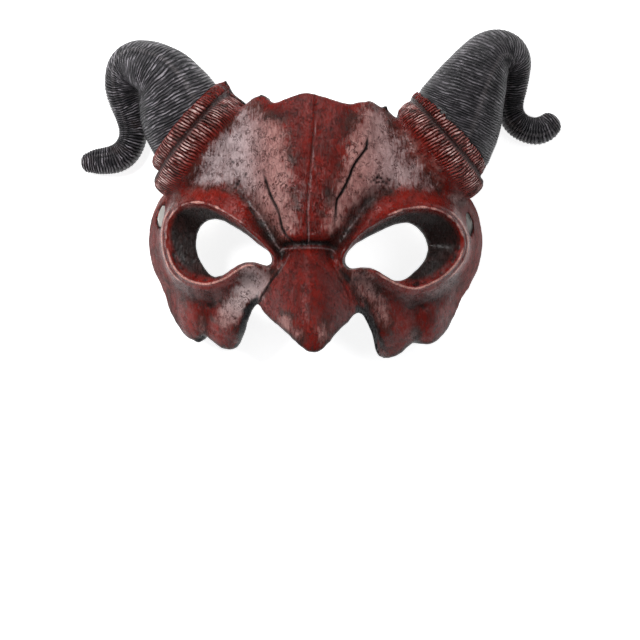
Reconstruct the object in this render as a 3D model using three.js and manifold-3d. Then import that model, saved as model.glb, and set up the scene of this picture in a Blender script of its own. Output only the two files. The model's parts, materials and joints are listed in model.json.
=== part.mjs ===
import * as THREE from 'three';
import { mergeVertices } from 'three/addons/utils/BufferGeometryUtils.js';
import Module from 'manifold-3d';

// Devil half mask of soft foam, lying face up. Millimetres: x runs to the viewer's right,
// y up the forehead and z out of the face. The rear rims of the temples lie on z = 0.
// The casting covers the face from the cheeks to the hairline. Each horn is a casting of its own,
// plugged into a ribbed double collar. A flat elastic is fixed inside both temples.

// Driving dimensions
const MIDDLE_X = 0.6;
const WALL = 4.6;
const FIT_GAP = 0.3;
const DOME_TOP = 82;
const DOME_TOP_Y = 15;
const DOME_FALL_UP = 0.0034;
const DOME_FALL_DOWN = 0.0062;
const DOME_ROUNDNESS = 2.2;
const DOME_SHOULDER = 0.6;
const SIDE_FALL = 8;
const HALF_WIDTH_STATIONS = [[-60, 88], [-40, 93], [-22, 95.5], [-10, 101], [6, 103.8], [20, 102],
  [30, 98.5], [45, 92.5], [60, 84.5], [75, 76.5], [92, 66]];

const NOSE_ROOT_HEIGHT = 82;
const NOSE_RISE = 0.95;
const NOSE_DROOP = 0.0105;
const NOSE_FLANK = 0.1;
const NOSE_FLANK_POWER = 1.7;

const RIM_WIDTH = 7;
const RIM_RISE_INNER = 2.5;
const RIM_RISE_TEMPLE = 10;
const RIM_GROWTH = [35, 88];
const SOCKET_SLOPE = 1.05;
const SOCKET_LIP = 3;
const SOCKET_LIP_REACH = 2;

const VALLEY_DEPTH = 5;
const VALLEY_WIDTH = 5.5;
const VALLEY_OPENING = 4;
const VALLEY_FADE = [42, 60];
const PANEL_RISE = 1.6;
const PANEL_EDGE = 2.5;
const PANEL_FOOT = [-4, 8];
const CHEEK_VALLEY_DEPTH = 3;
const CHEEK_VALLEY_WIDTH = 6;
const LOBE_RISE = 4;
const LOBE_SIZE = 12;

const STRAP_WIDTH = 16;
const STRAP_THICKNESS = 1.3;
const SLOT_LENGTH = 19;
const SLOT_HEIGHT = 10;
const SLOT_TILT = 25;
const SLOT_SQUARENESS = 4;
const SLOT_X = 95.6;
const SLOT_Y_LEFT = 20.5;
const SLOT_Y_RIGHT = 15.8;
const SLOT_Z = 25;
const SLOT_REACH = [-6, 11];

const COLLAR_HEIGHT = 32;
const COLLAR_DEPTH_SHARE = 0.83;
const LOWER_RING_WIDTH = 17;
const UPPER_RING_WIDTH = 9;
const RING_ROUNDING = 3.2;
const RING_SQUARENESS = 3.5;
const RING_PLACES = [-1, -0.86, -0.55, 0, 0.55, 0.86, 1];
const RING_OVERLAP = 1.5;
const PLUG_LENGTH = 24;
const SOCKET_FLOOR = 3.5;
const HORN_DEPTH_SHARE = 0.86;
const HORN_ROUND_FROM = 0.5;
const HORN_TIP_RINGS = [[0.45, 0.85], [0.75, 0.5]];
const KEEL_RISE = 0.05;
const KEEL_ANGLE = 65;
const KEEL_WIDTH = 0.35;
const KEEL_START = [0, 0.1];
const KEEL_END = [0.3, 0.6];
const SOCKET_RINGS = 6;

const COARSE_SPACING = 6.6;
const INNER_SPACING = 9;
const LOOP_STEP = 4.2;
const ROW_SHARE = 0.87;
const ROW_STARTS = [0.4, 0.9];
const FREE_SHARE = 0.62;
const AROUND = 18;
const FRONT_FLOOR = -30;
const HOLLOW_FLOOR = -60;
const OVER_ALL = 130;

const clamp = (value, low = 0, high = 1) => Math.min(high, Math.max(low, value));
const mix = (a, b, t) => a + (b - a) * t;
const smoothStep = (low, high, value) => {
  const t = clamp((value - low) / (high - low));
  return t * t * (3 - 2 * t);
};
const bump = (distance, width) => Math.exp(-((distance / width) ** 2));

// A smooth curve through [place, value] stations
function throughStations(stations, place) {
  const last = stations.length - 1;
  if (place <= stations[0][0]) return stations[0][1];
  if (place >= stations[last][0]) return stations[last][1];
  const i = stations.findIndex((station) => station[0] > place) - 1;
  const [x0, y0] = stations[Math.max(i - 1, 0)];
  const [x1, y1] = stations[i];
  const [x2, y2] = stations[i + 1];
  const [x3, y3] = stations[Math.min(i + 2, last)];
  const span = x2 - x1;
  const t = (place - x1) / span;
  const slopeIn = ((y2 - y0) / (x2 - x0)) * span;
  const slopeOut = ((y3 - y1) / (x3 - x1)) * span;
  return y1 * (2 * t ** 3 - 3 * t ** 2 + 1) + slopeIn * (t ** 3 - 2 * t ** 2 + t)
    + y2 * (3 * t ** 2 - 2 * t ** 3) + slopeOut * (t ** 3 - t ** 2);
}

// Curves in the face plane
const planeCurve = (points, closed) =>
  new THREE.CatmullRomCurve3(points.map(([x, y]) => new THREE.Vector3(x, y, 0)), closed, 'centripetal');

function sample(curve, step) {
  const count = Math.max(2, Math.round(curve.getLength() / step));
  const points = curve.getSpacedPoints(count).map((point) => [point.x, point.y]);
  return curve.closed ? points.slice(0, -1) : points;
}

function distanceToLine(x, y, line, closed) {
  let best = Infinity;
  const count = closed ? line.length : line.length - 1;
  for (let i = 0; i < count; i += 1) {
    const [ax, ay] = line[i];
    const [bx, by] = line[(i + 1) % line.length];
    const along = clamp(((x - ax) * (bx - ax) + (y - ay) * (by - ay)) / ((bx - ax) ** 2 + (by - ay) ** 2));
    best = Math.min(best, Math.hypot(x - mix(ax, bx, along), y - mix(ay, by, along)));
  }
  return best;
}

function isInside(x, y, loop) {
  let inside = false;
  for (let i = 0, j = loop.length - 1; i < loop.length; j = i, i += 1) {
    const [ax, ay] = loop[i];
    const [bx, by] = loop[j];
    if (ay > y !== by > y && x < ((bx - ax) * (y - ay)) / (by - ay) + ax) inside = !inside;
  }
  return inside;
}

const signedDistance = (x, y, loop) => distanceToLine(x, y, loop, true) * (isInside(x, y, loop) ? -1 : 1);

// The mask's outline, one stretch after another, each ending at a corner
const OUTLINE_STRETCHES = [
  [[-46, 86], [-42.5, 86.9], [-38.4, 90.3], [-33, 91.9], [-28.2, 90], [-23.4, 87.4], [-13.3, 91.1],
    [-3.2, 93.2], [9.2, 89.6], [18.7, 86.7], [28.3, 88.4], [34.2, 88.6], [40.3, 85.6], [46.3, 82.2]],
  [[46.3, 82.2], [70, 58.5], [88, 40], [96.5, 32]],
  [[96.5, 32], [101, 26.5], [107, 20]],
  [[107, 20], [107, -17]],
  [[107, -17], [96.4, -22], [90.5, -28.7], [86, -38.7], [80.2, -48.5], [75.1, -54.3], [70, -57],
    [65.5, -56.6], [61.8, -54.6]],
  [[61.8, -54.6], [56.8, -57.8], [51.3, -62.5], [45.6, -64.9], [40.2, -64.4], [36.9, -60.4],
    [34.7, -52.2], [31.4, -43.7], [28.8, -39], [25.6, -37.8], [23.4, -38.8]],
  [[23.4, -38.8], [19.1, -43.8], [14, -48.6], [9.5, -54], [3.9, -59.4], [-0.3, -60.9], [-4.2, -60],
    [-9, -56.3], [-15, -50.6], [-22.2, -44.8], [-28.7, -38.4], [-33.1, -32.1]],
  [[-33.1, -32.1], [-36.2, -34.4], [-38.3, -38.7], [-40.8, -45.6], [-43.2, -52.7], [-46, -58],
    [-50.6, -59.8], [-56.7, -58.7], [-62.7, -54.4], [-66.9, -50.2]],
  [[-66.9, -50.2], [-71.6, -53.8], [-76.1, -53.8], [-80.1, -50.6], [-85, -43.2], [-89.8, -34.6],
    [-93.5, -24.7], [-107, -20]],
  [[-107, -20], [-107, 19]],
  [[-107, 19], [-101, 24], [-95.4, 33]],
  [[-95.4, 33], [-83, 43], [-66, 60], [-46, 86]],
];

// The eye holes, and the crests of the rolled rims around the sockets
const EYE_HOLES = [
  [[-62.1, 18], [-68.1, 14.4], [-71.2, 8.4], [-71.5, 2.4], [-69.7, -4.2], [-65.9, -10.7], [-62.1, -14.7],
    [-57.9, -16.2], [-53.1, -14.7], [-47.7, -11.1], [-42.9, -8.4], [-38.1, -7.7], [-32.7, -8.4],
    [-27.9, -9.9], [-25.2, -7.5], [-26.5, -2.5], [-32.7, 2.4], [-39.1, 7.7], [-46.8, 13], [-54.4, 16.8]],
  [[53.9, 15.8], [59.1, 14.7], [63.9, 10.8], [67.2, 6], [68.3, 1.2], [66.9, -4.2], [63.6, -9.3],
    [59.1, -13.8], [53.9, -17.5], [47.7, -18.4], [40.8, -15.8], [34.5, -11.7], [27.9, -10.9],
    [21, -11.2], [18.2, -7.4], [19.8, -2.4], [24.3, 2.7], [30.3, 6.5], [38.1, 10.5], [45.9, 13.8]],
];
const RIM_CRESTS = [
  [[-23, -5.5], [-31, 4.6], [-38.7, 11.6], [-46.8, 17.6], [-55.5, 23], [-65.7, 27.2], [-75.9, 27.3],
    [-83.7, 23.4], [-88.3, 15.6], [-88.9, 5.4], [-87.1, -4.2], [-83.1, -12], [-76.5, -17.4],
    [-67.8, -20.2], [-60.3, -19.8], [-52.5, -16.8], [-44.9, -12], [-39, -9.6], [-32.7, -10.4], [-26.5, -12]],
  [[16, -6], [21.4, 3.4], [27.3, 9.4], [33.9, 14], [42.7, 19], [52.4, 22.8], [60.9, 24.3], [69.3, 24],
    [77.1, 21.6], [83.7, 16.8], [88.2, 10.2], [89.4, 3], [87.3, -4.2], [82.5, -10.8], [75.9, -16.5],
    [68.1, -20.7], [60.3, -23.1], [51, -21.3], [41.1, -16.6], [34.7, -13.2], [26.7, -12.8], [19, -13]],
];

// The two valleys that run from the root of the nose over the brows, and the valleys on the cheeks
const BROW_VALLEYS = [
  [[-20, -2], [-23.8, 1.5], [-27.6, 8.5], [-31.5, 16], [-36.8, 25.4], [-42, 33], [-49, 38.5], [-59, 42]],
  [[10.5, -1], [14.5, 4], [19.9, 10.8], [25.2, 19.3], [31.3, 27], [38, 32.5], [48, 37.5]],
];
const CHEEK_VALLEYS = [
  [[-37, -17], [-45, -20], [-53, -26], [-62, -29.5], [-72, -28], [-81, -21]],
  [[29, -18], [40, -24], [50, -29.5], [62, -31.5], [74, -27], [84, -17]],
];
const NOTCH_VALLEYS = [
  [[-61, -33], [-64.5, -42], [-66.9, -52]],
  [[62, -35], [62.5, -45], [61.8, -56]],
];
const LOBES = [[-75, -44], [-52, -50], [45, -53], [73, -46]];
const PANEL_EDGES = [
  [[-14, 0], [-18.5, 11.7], [-21, 21], [-24.5, 28], [-27.6, 36.2], [-31, 46], [-35, 60], [-38, 80],
    [-40, 96]],
  [[9, 0], [12, 10], [12.9, 21], [14, 28], [17.5, 34.7], [20.6, 41.5], [23.6, 49.2], [30, 58.4],
    [34, 70], [38, 96]],
];

const crestLines = RIM_CRESTS.map((points) => sample(planeCurve(points, true), LOOP_STEP));
const holeLines = EYE_HOLES.map((points) => sample(planeCurve(points, true), LOOP_STEP));
const browLines = BROW_VALLEYS.map((points) => sample(planeCurve(points, false), LOOP_STEP));
const cheekLines = CHEEK_VALLEYS.map((points) => sample(planeCurve(points, false), LOOP_STEP));
const notchLines = NOTCH_VALLEYS.map((points) => sample(planeCurve(points, false), LOOP_STEP));
const outline = OUTLINE_STRETCHES
  .flatMap((points) => sample(planeCurve(points, false), LOOP_STEP).slice(0, -1));

// The smooth dome that the face is carved on
function domeHeight(x, y) {
  const fall = y > DOME_TOP_Y ? DOME_FALL_UP : DOME_FALL_DOWN;
  const middle = DOME_TOP - fall * (y - DOME_TOP_Y) ** 2;
  const share = Math.abs(x - MIDDLE_X) / throughStations(HALF_WIDTH_STATIONS, y);
  if (share < 1) return middle * (1 - share ** DOME_ROUNDNESS) ** DOME_SHOULDER;
  return -middle * (share - 1) * SIDE_FALL;
}

// The nose: a blunt beak whose ridge climbs from the root to the tip
const noseMiddle = (y) => mix(-4.4, -0.4, smoothStep(0, -60, y));
function noseHeight(x, y) {
  const down = -y;
  const ridge = NOSE_ROOT_HEIGHT + NOSE_RISE * down - NOSE_DROOP * down ** 2;
  return ridge - NOSE_FLANK * Math.abs(x - noseMiddle(y)) ** NOSE_FLANK_POWER;
}

// The raised panel in the middle of the forehead
function panelRise(x, y) {
  const edge = (points) => throughStations(points.map(([px, py]) => [py, px]), y);
  const inside = Math.min(x - edge(PANEL_EDGES[0]), edge(PANEL_EDGES[1]) - x);
  return PANEL_RISE * smoothStep(-PANEL_EDGE, PANEL_EDGE, inside) * smoothStep(...PANEL_FOOT, y);
}

// Height of the carved face over the floor
function faceHeight(x, y) {
  const crest = Math.min(...crestLines.map((line) => signedDistance(x, y, line)));
  const temple = smoothStep(...RIM_GROWTH, Math.abs(x - MIDDLE_X));
  const rise = mix(RIM_RISE_INNER, RIM_RISE_TEMPLE, temple);
  let height = domeHeight(x, y) + rise * bump(Math.max(crest, 0), RIM_WIDTH);
  if (crest < 0) return height + SOCKET_SLOPE * crest - SOCKET_LIP * (1 - Math.exp(crest / SOCKET_LIP_REACH));
  const open = smoothStep(0, VALLEY_OPENING, crest);
  const brow = Math.min(...browLines.map((line) => distanceToLine(x, y, line, false)));
  const browFade = 1 - smoothStep(...VALLEY_FADE, Math.abs(x - MIDDLE_X));
  height -= VALLEY_DEPTH * bump(brow, VALLEY_WIDTH) * open * browFade;
  const cheek = Math.min(...cheekLines.map((line) => distanceToLine(x, y, line, false)));
  height -= CHEEK_VALLEY_DEPTH * bump(cheek, CHEEK_VALLEY_WIDTH) * open;
  const notch = Math.min(...notchLines.map((line) => distanceToLine(x, y, line, false)));
  height -= CHEEK_VALLEY_DEPTH * bump(notch, CHEEK_VALLEY_WIDTH);
  LOBES.forEach(([lx, ly]) => {
    height += LOBE_RISE * bump(Math.hypot(x - lx, y - ly), LOBE_SIZE);
  });
  height += panelRise(x, y);
  if (y > 0) return height;
  return Math.max(height, noseHeight(x, y));
}

// Height of the hollow side: the face moved in by the wall on every side
const HOLLOW_SHARES = [0.5, 0.86, 1];
const HOLLOW_TURNS = 12;
function hollowHeight(x, y) {
  let height = faceHeight(x, y) - WALL;
  for (const share of HOLLOW_SHARES) {
    for (let turn = 0; turn < HOLLOW_TURNS; turn += 1) {
      const angle = (turn / HOLLOW_TURNS) * Math.PI * 2;
      const reach = WALL * share;
      const side = faceHeight(x + reach * Math.cos(angle), y + reach * Math.sin(angle));
      height = Math.min(height, side - WALL * Math.sqrt(1 - share * share));
    }
  }
  return height;
}

// Triangles of the Delaunay mesh over points in the face plane
function delaunay(points) {
  const far = 4000;
  const all = [...points, [-far, -far], [far, -far], [0, far]];
  const count = points.length;
  const circle = (a, b, c) => {
    const [ax, ay] = all[a];
    const [bx, by] = all[b];
    const [cx, cy] = all[c];
    const twice = 2 * (ax * (by - cy) + bx * (cy - ay) + cx * (ay - by));
    const aa = ax * ax + ay * ay;
    const bb = bx * bx + by * by;
    const cc = cx * cx + cy * cy;
    const x = (aa * (by - cy) + bb * (cy - ay) + cc * (ay - by)) / twice;
    const y = (aa * (cx - bx) + bb * (ax - cx) + cc * (bx - ax)) / twice;
    return { corners: [a, b, c], x, y, reach: (ax - x) ** 2 + (ay - y) ** 2 };
  };
  let triangles = [circle(count, count + 1, count + 2)];
  const order = points.map((_, i) => i).sort((a, b) => points[a][0] - points[b][0]);
  const done = [];
  for (const i of order) {
    const [x, y] = points[i];
    const edges = new Map();
    triangles = triangles.filter((t) => {
      if (x - t.x > 0 && (x - t.x) ** 2 > t.reach) {
        done.push(t);
        return false;
      }
      if ((x - t.x) ** 2 + (y - t.y) ** 2 > t.reach) return true;
      const [a, b, c] = t.corners;
      [[a, b], [b, c], [c, a]].forEach(([p, q]) => {
        const reverse = `${q},${p}`;
        if (edges.has(reverse)) edges.delete(reverse);
        else edges.set(`${p},${q}`, [p, q]);
      });
      return false;
    });
    edges.forEach(([p, q]) => triangles.push(circle(p, q, i)));
  }
  return [...done, ...triangles].map((t) => t.corners).filter((corners) => corners.every((c) => c < count));
}

// Points for a height mesh: the drawn lines first, then a field of even points between them
function meshPoints(lines, spacing, field) {
  const points = [];
  const isFree = (x, y, room) => points.every(([px, py]) => Math.hypot(px - x, py - y) > room);
  const { left, right, low, high } = field;
  const across = Math.ceil((right - left) / spacing);
  const rows = Math.ceil((high - low) / spacing);
  for (let i = 0; i <= across; i += 1) {
    const x = mix(left, right, i / across);
    points.push([x, low], [x, high]);
  }
  for (let j = 1; j < rows; j += 1) {
    const y = mix(low, high, j / rows);
    points.push([left, y], [right, y]);
  }
  lines.forEach(([line, room]) => line.forEach(([x, y]) => {
    if (isFree(x, y, room)) points.push([x, y]);
  }));
  const step = spacing * ROW_SHARE;
  for (let y = low + step, row = 0; y < high; y += step, row += 1) {
    const start = left + spacing * ROW_STARTS[row % 2];
    for (let x = start; x < right; x += spacing) {
      if (isFree(x, y, spacing * FREE_SHARE)) points.push([x, y]);
    }
  }
  return points;
}

// A block from a flat floor up to a height function
function blockUnder(points, heightAt, floor) {
  const triangles = delaunay(points);
  const count = points.length;
  const positions = [];
  points.forEach(([x, y]) => positions.push(x, y, Math.max(heightAt(x, y), floor + 1)));
  points.forEach(([x, y]) => positions.push(x, y, floor));
  const index = [];
  const edges = new Map();
  triangles.forEach(([a, b, c]) => {
    index.push(a, b, c, a + count, c + count, b + count);
    [[a, b], [b, c], [c, a]].forEach(([p, q]) => edges.set(`${p},${q}`, [p, q]));
  });
  edges.forEach(([p, q]) => {
    if (!edges.has(`${q},${p}`)) index.push(p, p + count, q + count, p, q + count, q);
  });
  const geometry = new THREE.BufferGeometry();
  geometry.setAttribute('position', new THREE.Float32BufferAttribute(positions, 3));
  geometry.setIndex(index);
  return geometry;
}

// A straight prism over a loop in the face plane
function prism(loop, low, high) {
  const shape = new THREE.Shape(loop.map(([x, y]) => new THREE.Vector2(x, y)));
  const geometry = new THREE.ExtrudeGeometry(shape, { depth: high - low, bevelEnabled: false });
  geometry.translate(0, 0, low);
  return geometry;
}

const middleOf = (ring) =>
  ring.reduce((sum, point) => sum.add(point), new THREE.Vector3()).divideScalar(ring.length);

// A closed skin over a row of rings with the same number of points each
function loft(rings) {
  const positions = rings.flat().flatMap((point) => [point.x, point.y, point.z]);
  const around = rings[0].length;
  const last = rings.length - 1;
  const index = [];
  for (let ring = 0; ring < last; ring += 1) {
    for (let i = 0; i < around; i += 1) {
      const a = ring * around + i;
      const b = ring * around + ((i + 1) % around);
      index.push(a, b, b + around, a, b + around, a + around);
    }
  }
  [0, last].forEach((ring) => {
    const middle = middleOf(rings[ring]);
    const tip = positions.length / 3;
    positions.push(middle.x, middle.y, middle.z);
    for (let i = 0; i < around; i += 1) {
      const a = ring * around + i;
      const b = ring * around + ((i + 1) % around);
      if (ring === 0) index.push(tip, b, a);
      else index.push(tip, a, b);
    }
  });
  const geometry = new THREE.BufferGeometry();
  geometry.setAttribute('position', new THREE.Float32BufferAttribute(positions, 3));
  geometry.setIndex(index);
  return geometry;
}

// Solids for cutting and joining
const wasm = await Module();
wasm.setup();

function toSolid(geometry) {
  const bare = geometry.clone();
  bare.deleteAttribute('normal');
  bare.deleteAttribute('uv');
  const merged = mergeVertices(bare, 1e-4);
  return new wasm.Manifold(new wasm.Mesh({
    numProp: 3,
    vertProperties: new Float32Array(merged.attributes.position.array),
    triVerts: new Uint32Array(merged.index.array),
  }));
}

function toGeometry(solid) {
  const mesh = solid.getMesh();
  const geometry = new THREE.BufferGeometry();
  const positions = new Float32Array(mesh.numVert * 3);
  for (let i = 0; i < mesh.numVert; i += 1) {
    for (let axis = 0; axis < 3; axis += 1) {
      positions[i * 3 + axis] = mesh.vertProperties[i * mesh.numProp + axis];
    }
  }
  geometry.setAttribute('position', new THREE.BufferAttribute(positions, 3));
  geometry.setIndex(new THREE.BufferAttribute(new Uint32Array(mesh.triVerts), 1));
  geometry.computeVertexNormals();
  return geometry;
}

// Lines that the mesh points follow, each with how far it is moved outwards and the room it keeps
const FIELD = { left: -112, right: 112, low: -70, high: 98 };
const NOSE_SIDES = [
  [[-33, -32], [-25, -18.5], [-18.5, -8], [-17, 0]],
  [[23.4, -38.8], [18, -22], [13, -10], [9, 0]],
];
const NOSE_RIDGE = [[-4.4, 0], [-2.5, -30], [-0.4, -60]];
const CREST_OFFSETS = [[0, 1.5], [-3.4, 2.4], [3.4, 2.4], [8, 3], [-8, 3]];
const HOLLOW_CREST_OFFSETS = [[0, 5], [6, 4], [-6, 4]];
const SHOULDER_INSETS = [[0.6, 2], [3.6, 2.4]];
const HOLLOW_SHOULDER_INSETS = [[WALL + 1.4, 3], [WALL + 5.6, 4]];
const SHOULDER_RUN = [-55, 60];
const NOSE_SIDE_ROOM = 2.2;
const BROW_ROOM = 2.4;
const LOOSE_ROOM = 3;
const HOLLOW_RIDGE_ROOM = 5;

function movedOut(line, reach) {
  return line.map(([x, y], i) => {
    const [nx, ny] = line[(i + 1) % line.length];
    const [px, py] = line[(i + line.length - 1) % line.length];
    const length = Math.hypot(nx - px, ny - py);
    return [x + ((ny - py) / length) * reach, y - ((nx - px) / length) * reach];
  });
}

function shoulderLine(side, inset) {
  const points = [];
  for (let y = SHOULDER_RUN[0]; y <= SHOULDER_RUN[1]; y += LOOP_STEP) {
    points.push([MIDDLE_X + side * (throughStations(HALF_WIDTH_STATIONS, y) - inset), y]);
  }
  return points;
}

const alongCrests = (offsets) => offsets.flatMap(([reach, room]) =>
  crestLines.map((line) => [movedOut(line, reach), room]));
const alongShoulders = (insets) => insets.flatMap(([inset, room]) =>
  [-1, 1].map((side) => [shoulderLine(side, inset), room]));

// The shell of the face, with the collars and without the horns
function faceShell() {
  const noseSides = NOSE_SIDES.map((points) => sample(planeCurve(points, false), LOOP_STEP));
  const noseRidge = sample(planeCurve(NOSE_RIDGE, false), LOOP_STEP);
  const frontLines = [
    ...alongCrests(CREST_OFFSETS),
    ...noseSides.map((line) => [line, NOSE_SIDE_ROOM]),
    [noseRidge, LOOSE_ROOM],
    ...browLines.map((line) => [line, BROW_ROOM]),
    ...alongShoulders(SHOULDER_INSETS),
    ...cheekLines.map((line) => [line, LOOSE_ROOM]),
    ...notchLines.map((line) => [line, LOOSE_ROOM]),
  ];
  const hollowLines = [
    ...alongCrests(HOLLOW_CREST_OFFSETS),
    ...alongShoulders(HOLLOW_SHOULDER_INSETS),
    [noseRidge, HOLLOW_RIDGE_ROOM],
  ];
  const frontPoints = meshPoints(frontLines, COARSE_SPACING, FIELD);
  const hollowPoints = meshPoints(hollowLines, INNER_SPACING, FIELD);
  const front = toSolid(blockUnder(frontPoints, faceHeight, FRONT_FLOOR));
  const hollow = toSolid(blockUnder(hollowPoints, hollowHeight, HOLLOW_FLOOR));
  let shell = front.intersect(toSolid(prism(outline, 0, OVER_ALL)));
  HORNS.forEach((horn) => {
    shell = shell.add(collarRing(horn, horn.lower, -LOWER_RING_WIDTH, LOWER_RING_WIDTH));
  });
  shell = shell.subtract(hollow);
  HORNS.forEach((horn) => {
    const ring = collarRing(horn, horn.upper, -RING_OVERLAP, UPPER_RING_WIDTH + RING_OVERLAP);
    shell = shell.add(ring).subtract(hornSocket(horn));
  });
  shell = shell.intersect(aboveFloor);
  holeLines.forEach((loop) => {
    shell = shell.subtract(toSolid(prism(loop, FRONT_FLOOR, OVER_ALL)));
  });
  [-1, 1].forEach((side) => {
    shell = shell.subtract(strapSlot(side));
  });
  return shell;
}

// Horns and their collars. A collar is placed by the line between its two rings. A slide moves a ring
// or a foot along that line, towards the crown. The stations of a horn are [x, y, z, half width].
const HORNS = [
  {
    name: 'left_horn',
    seam: new THREE.Vector3(-74.4, 69.9, COLLAR_HEIGHT),
    axis: [-0.764, 0.645],
    leanBack: 3,
    lower: { radius: 36.3, slide: -2.4 },
    upper: { radius: 33, slide: 3.6 },
    foot: { radius: 27.4, slide: 6.4, at: 10.5 },
    stations: [[-81.5, 88.1, 32.6, 25.8], [-85.4, 96.2, 33.3, 23.2], [-90.3, 104.1, 33, 19.8],
      [-96.2, 109.4, 31, 17.2], [-102.5, 112.9, 28, 15.6], [-108.6, 114.7, 24, 13.9],
      [-113.9, 113, 19.6, 12.6], [-117.1, 108, 15.6, 11.6], [-118.3, 100.5, 12.4, 10.7],
      [-116.6, 92, 10.2, 9.9], [-113.9, 84.1, 9.2, 9.2], [-112.3, 76.1, 8.5, 8.7],
      [-113, 68.7, 8.3, 8.5], [-116.6, 61.9, 8.3, 8.6], [-122.3, 57.8, 8.2, 8.5], [-129.1, 56.4, 7.8, 8],
      [-135.6, 56, 7.2, 7.2], [-140, 55.4, 6.8, 5.8]],
  },
  {
    name: 'right_horn',
    seam: new THREE.Vector3(80.5, 67.7, COLLAR_HEIGHT),
    axis: [0.75, 0.661],
    leanBack: 0,
    lower: { radius: 35, slide: -1.6 },
    upper: { radius: 31.7, slide: 2.2 },
    foot: { radius: 28.4, slide: 4.4, at: 9.5 },
    stations: [[88.7, 86.2, 32.6, 26.9], [92.9, 95.7, 33.4, 23.8], [97.1, 104.4, 33.3, 20.9],
      [101.3, 112.2, 32, 17.8], [106.3, 118.8, 29.4, 15.2], [112.3, 121.8, 26, 13.4],
      [118, 120.8, 21.8, 12.2], [121.4, 116.1, 17.6, 11.1], [122.2, 109.2, 13.8, 9.9],
      [121.8, 101.8, 11.2, 9.1], [120.9, 94.6, 9.2, 8.5], [121.2, 87.4, 8.3, 8.2], [124.6, 80.6, 8, 8.1],
      [130.7, 76.5, 7.9, 8.1], [137.3, 75.2, 7.8, 8.1], [142.4, 76.8, 7.5, 7.9], [145.8, 79.4, 7.2, 7.2]],
  },
];

const inDegrees = THREE.MathUtils.degToRad;

// The axis of a horn where it stands in its collar, and the two directions across it
function hornFrame(horn) {
  const lean = inDegrees(horn.leanBack);
  const [ax, ay] = horn.axis;
  const axis = new THREE.Vector3(ax * Math.cos(lean), ay * Math.cos(lean), -Math.sin(lean));
  const across = new THREE.Vector3(-ay, ax, 0).multiplyScalar(ax < 0 ? -1 : 1).normalize();
  const out = new THREE.Vector3().crossVectors(axis, across);
  if (out.z < 0) out.negate();
  return { axis, across, out };
}

function placeOnAxis(horn, at, slide) {
  const { axis, across } = hornFrame(horn);
  return horn.seam.clone().addScaledVector(axis, at).addScaledVector(across, slide);
}

function ellipse(middle, across, out, width, depth, shape = () => 1) {
  const turns = Array.from({ length: AROUND }, (_, i) => (i / AROUND) * Math.PI * 2);
  return turns.map((turn) => middle.clone()
    .addScaledVector(across, width * Math.cos(turn) * shape(turn))
    .addScaledVector(out, depth * Math.sin(turn) * shape(turn)));
}

// A loft whose faces point out, whichever way round its rings run
function facingOut(rings) {
  const [first] = rings;
  const along = rings[rings.length - 1][0].clone().sub(first[0]);
  const middle = middleOf(first);
  const turn = new THREE.Vector3().crossVectors(first[0].clone().sub(middle), first[1].clone().sub(middle));
  return loft(turn.dot(along) > 0 ? rings : rings.map((ring) => [...ring].reverse()));
}

// A solid ring with rounded edges, before it is joined to the shell
function collarRing(horn, { radius, slide }, start, width) {
  const { across, out } = hornFrame(horn);
  const rings = RING_PLACES.map((place) => {
    const middle = placeOnAxis(horn, start + (width * (place + 1)) / 2, slide);
    const size = radius - RING_ROUNDING * Math.abs(place) ** RING_SQUARENESS;
    return ellipse(middle, across, out, size, size * COLLAR_DEPTH_SHARE);
  });
  return toSolid(facingOut(rings));
}

// The rings of a horn from the end of its plug to its tip. The plug and the foot are straight.
function hornRings(horn, plugLength, grow) {
  const { foot } = horn;
  const start = placeOnAxis(horn, foot.at, foot.slide);
  const route = [start, ...horn.stations.map(([x, y, z]) => new THREE.Vector3(x, y, z))];
  const widths = [foot.radius, ...horn.stations.map((station) => station[3])];
  const curve = new THREE.CatmullRomCurve3(route, false, 'centripetal');
  const spans = route.length - 1;
  const steps = spans * 2;
  const ringAt = (share, slide) => {
    const tangent = curve.getTangent(share);
    const flat = new THREE.Vector3(tangent.y, -tangent.x, 0).normalize();
    const back = new THREE.Vector3().crossVectors(flat, tangent).normalize();
    const half = throughStations(widths.map((width, place) => [place, width]), share * spans);
    const depth = half * mix(HORN_DEPTH_SHARE, 1, smoothStep(0, HORN_ROUND_FROM, share));
    const keel = KEEL_RISE * smoothStep(...KEEL_START, share) * (1 - smoothStep(...KEEL_END, share));
    const shape = (turn) => 1 + keel * bump(turn - inDegrees(KEEL_ANGLE), KEEL_WIDTH);
    const middle = curve.getPoint(share).addScaledVector(tangent, slide);
    return ellipse(middle, flat, back, half + grow, depth + grow, shape);
  };
  const rings = [ringAt(0, -plugLength)];
  for (let i = 0; i <= steps; i += 1) rings.push(ringAt(i / steps, 0));
  const last = rings[rings.length - 1];
  const end = curve.getPoint(1);
  const beyond = curve.getTangent(1);
  const tip = widths[widths.length - 1];
  HORN_TIP_RINGS.forEach(([forward, share]) => {
    rings.push(last.map((point) => end.clone().lerp(point, share).addScaledVector(beyond, forward * tip)));
  });
  return rings;
}

// The half of space above the floor, and the half that lies further along a horn than a given place
const HALF_SPACE = 400;
const halfSpace = () =>
  new THREE.BoxGeometry(HALF_SPACE, HALF_SPACE, HALF_SPACE).translate(0, 0, HALF_SPACE / 2);
const aboveFloor = toSolid(halfSpace());

function beyondPlace(horn, at) {
  const { axis, across } = hornFrame(horn);
  const third = new THREE.Vector3().crossVectors(axis, across);
  const turned = new THREE.Matrix4().makeBasis(across, third, axis).setPosition(placeOnAxis(horn, at, 0));
  return toSolid(halfSpace().applyMatrix4(turned));
}

function hornSolid(horn) {
  const whole = toSolid(facingOut(hornRings(horn, PLUG_LENGTH, 0)));
  return whole.intersect(beyondPlace(horn, SOCKET_FLOOR + FIT_GAP)).intersect(aboveFloor);
}

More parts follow.
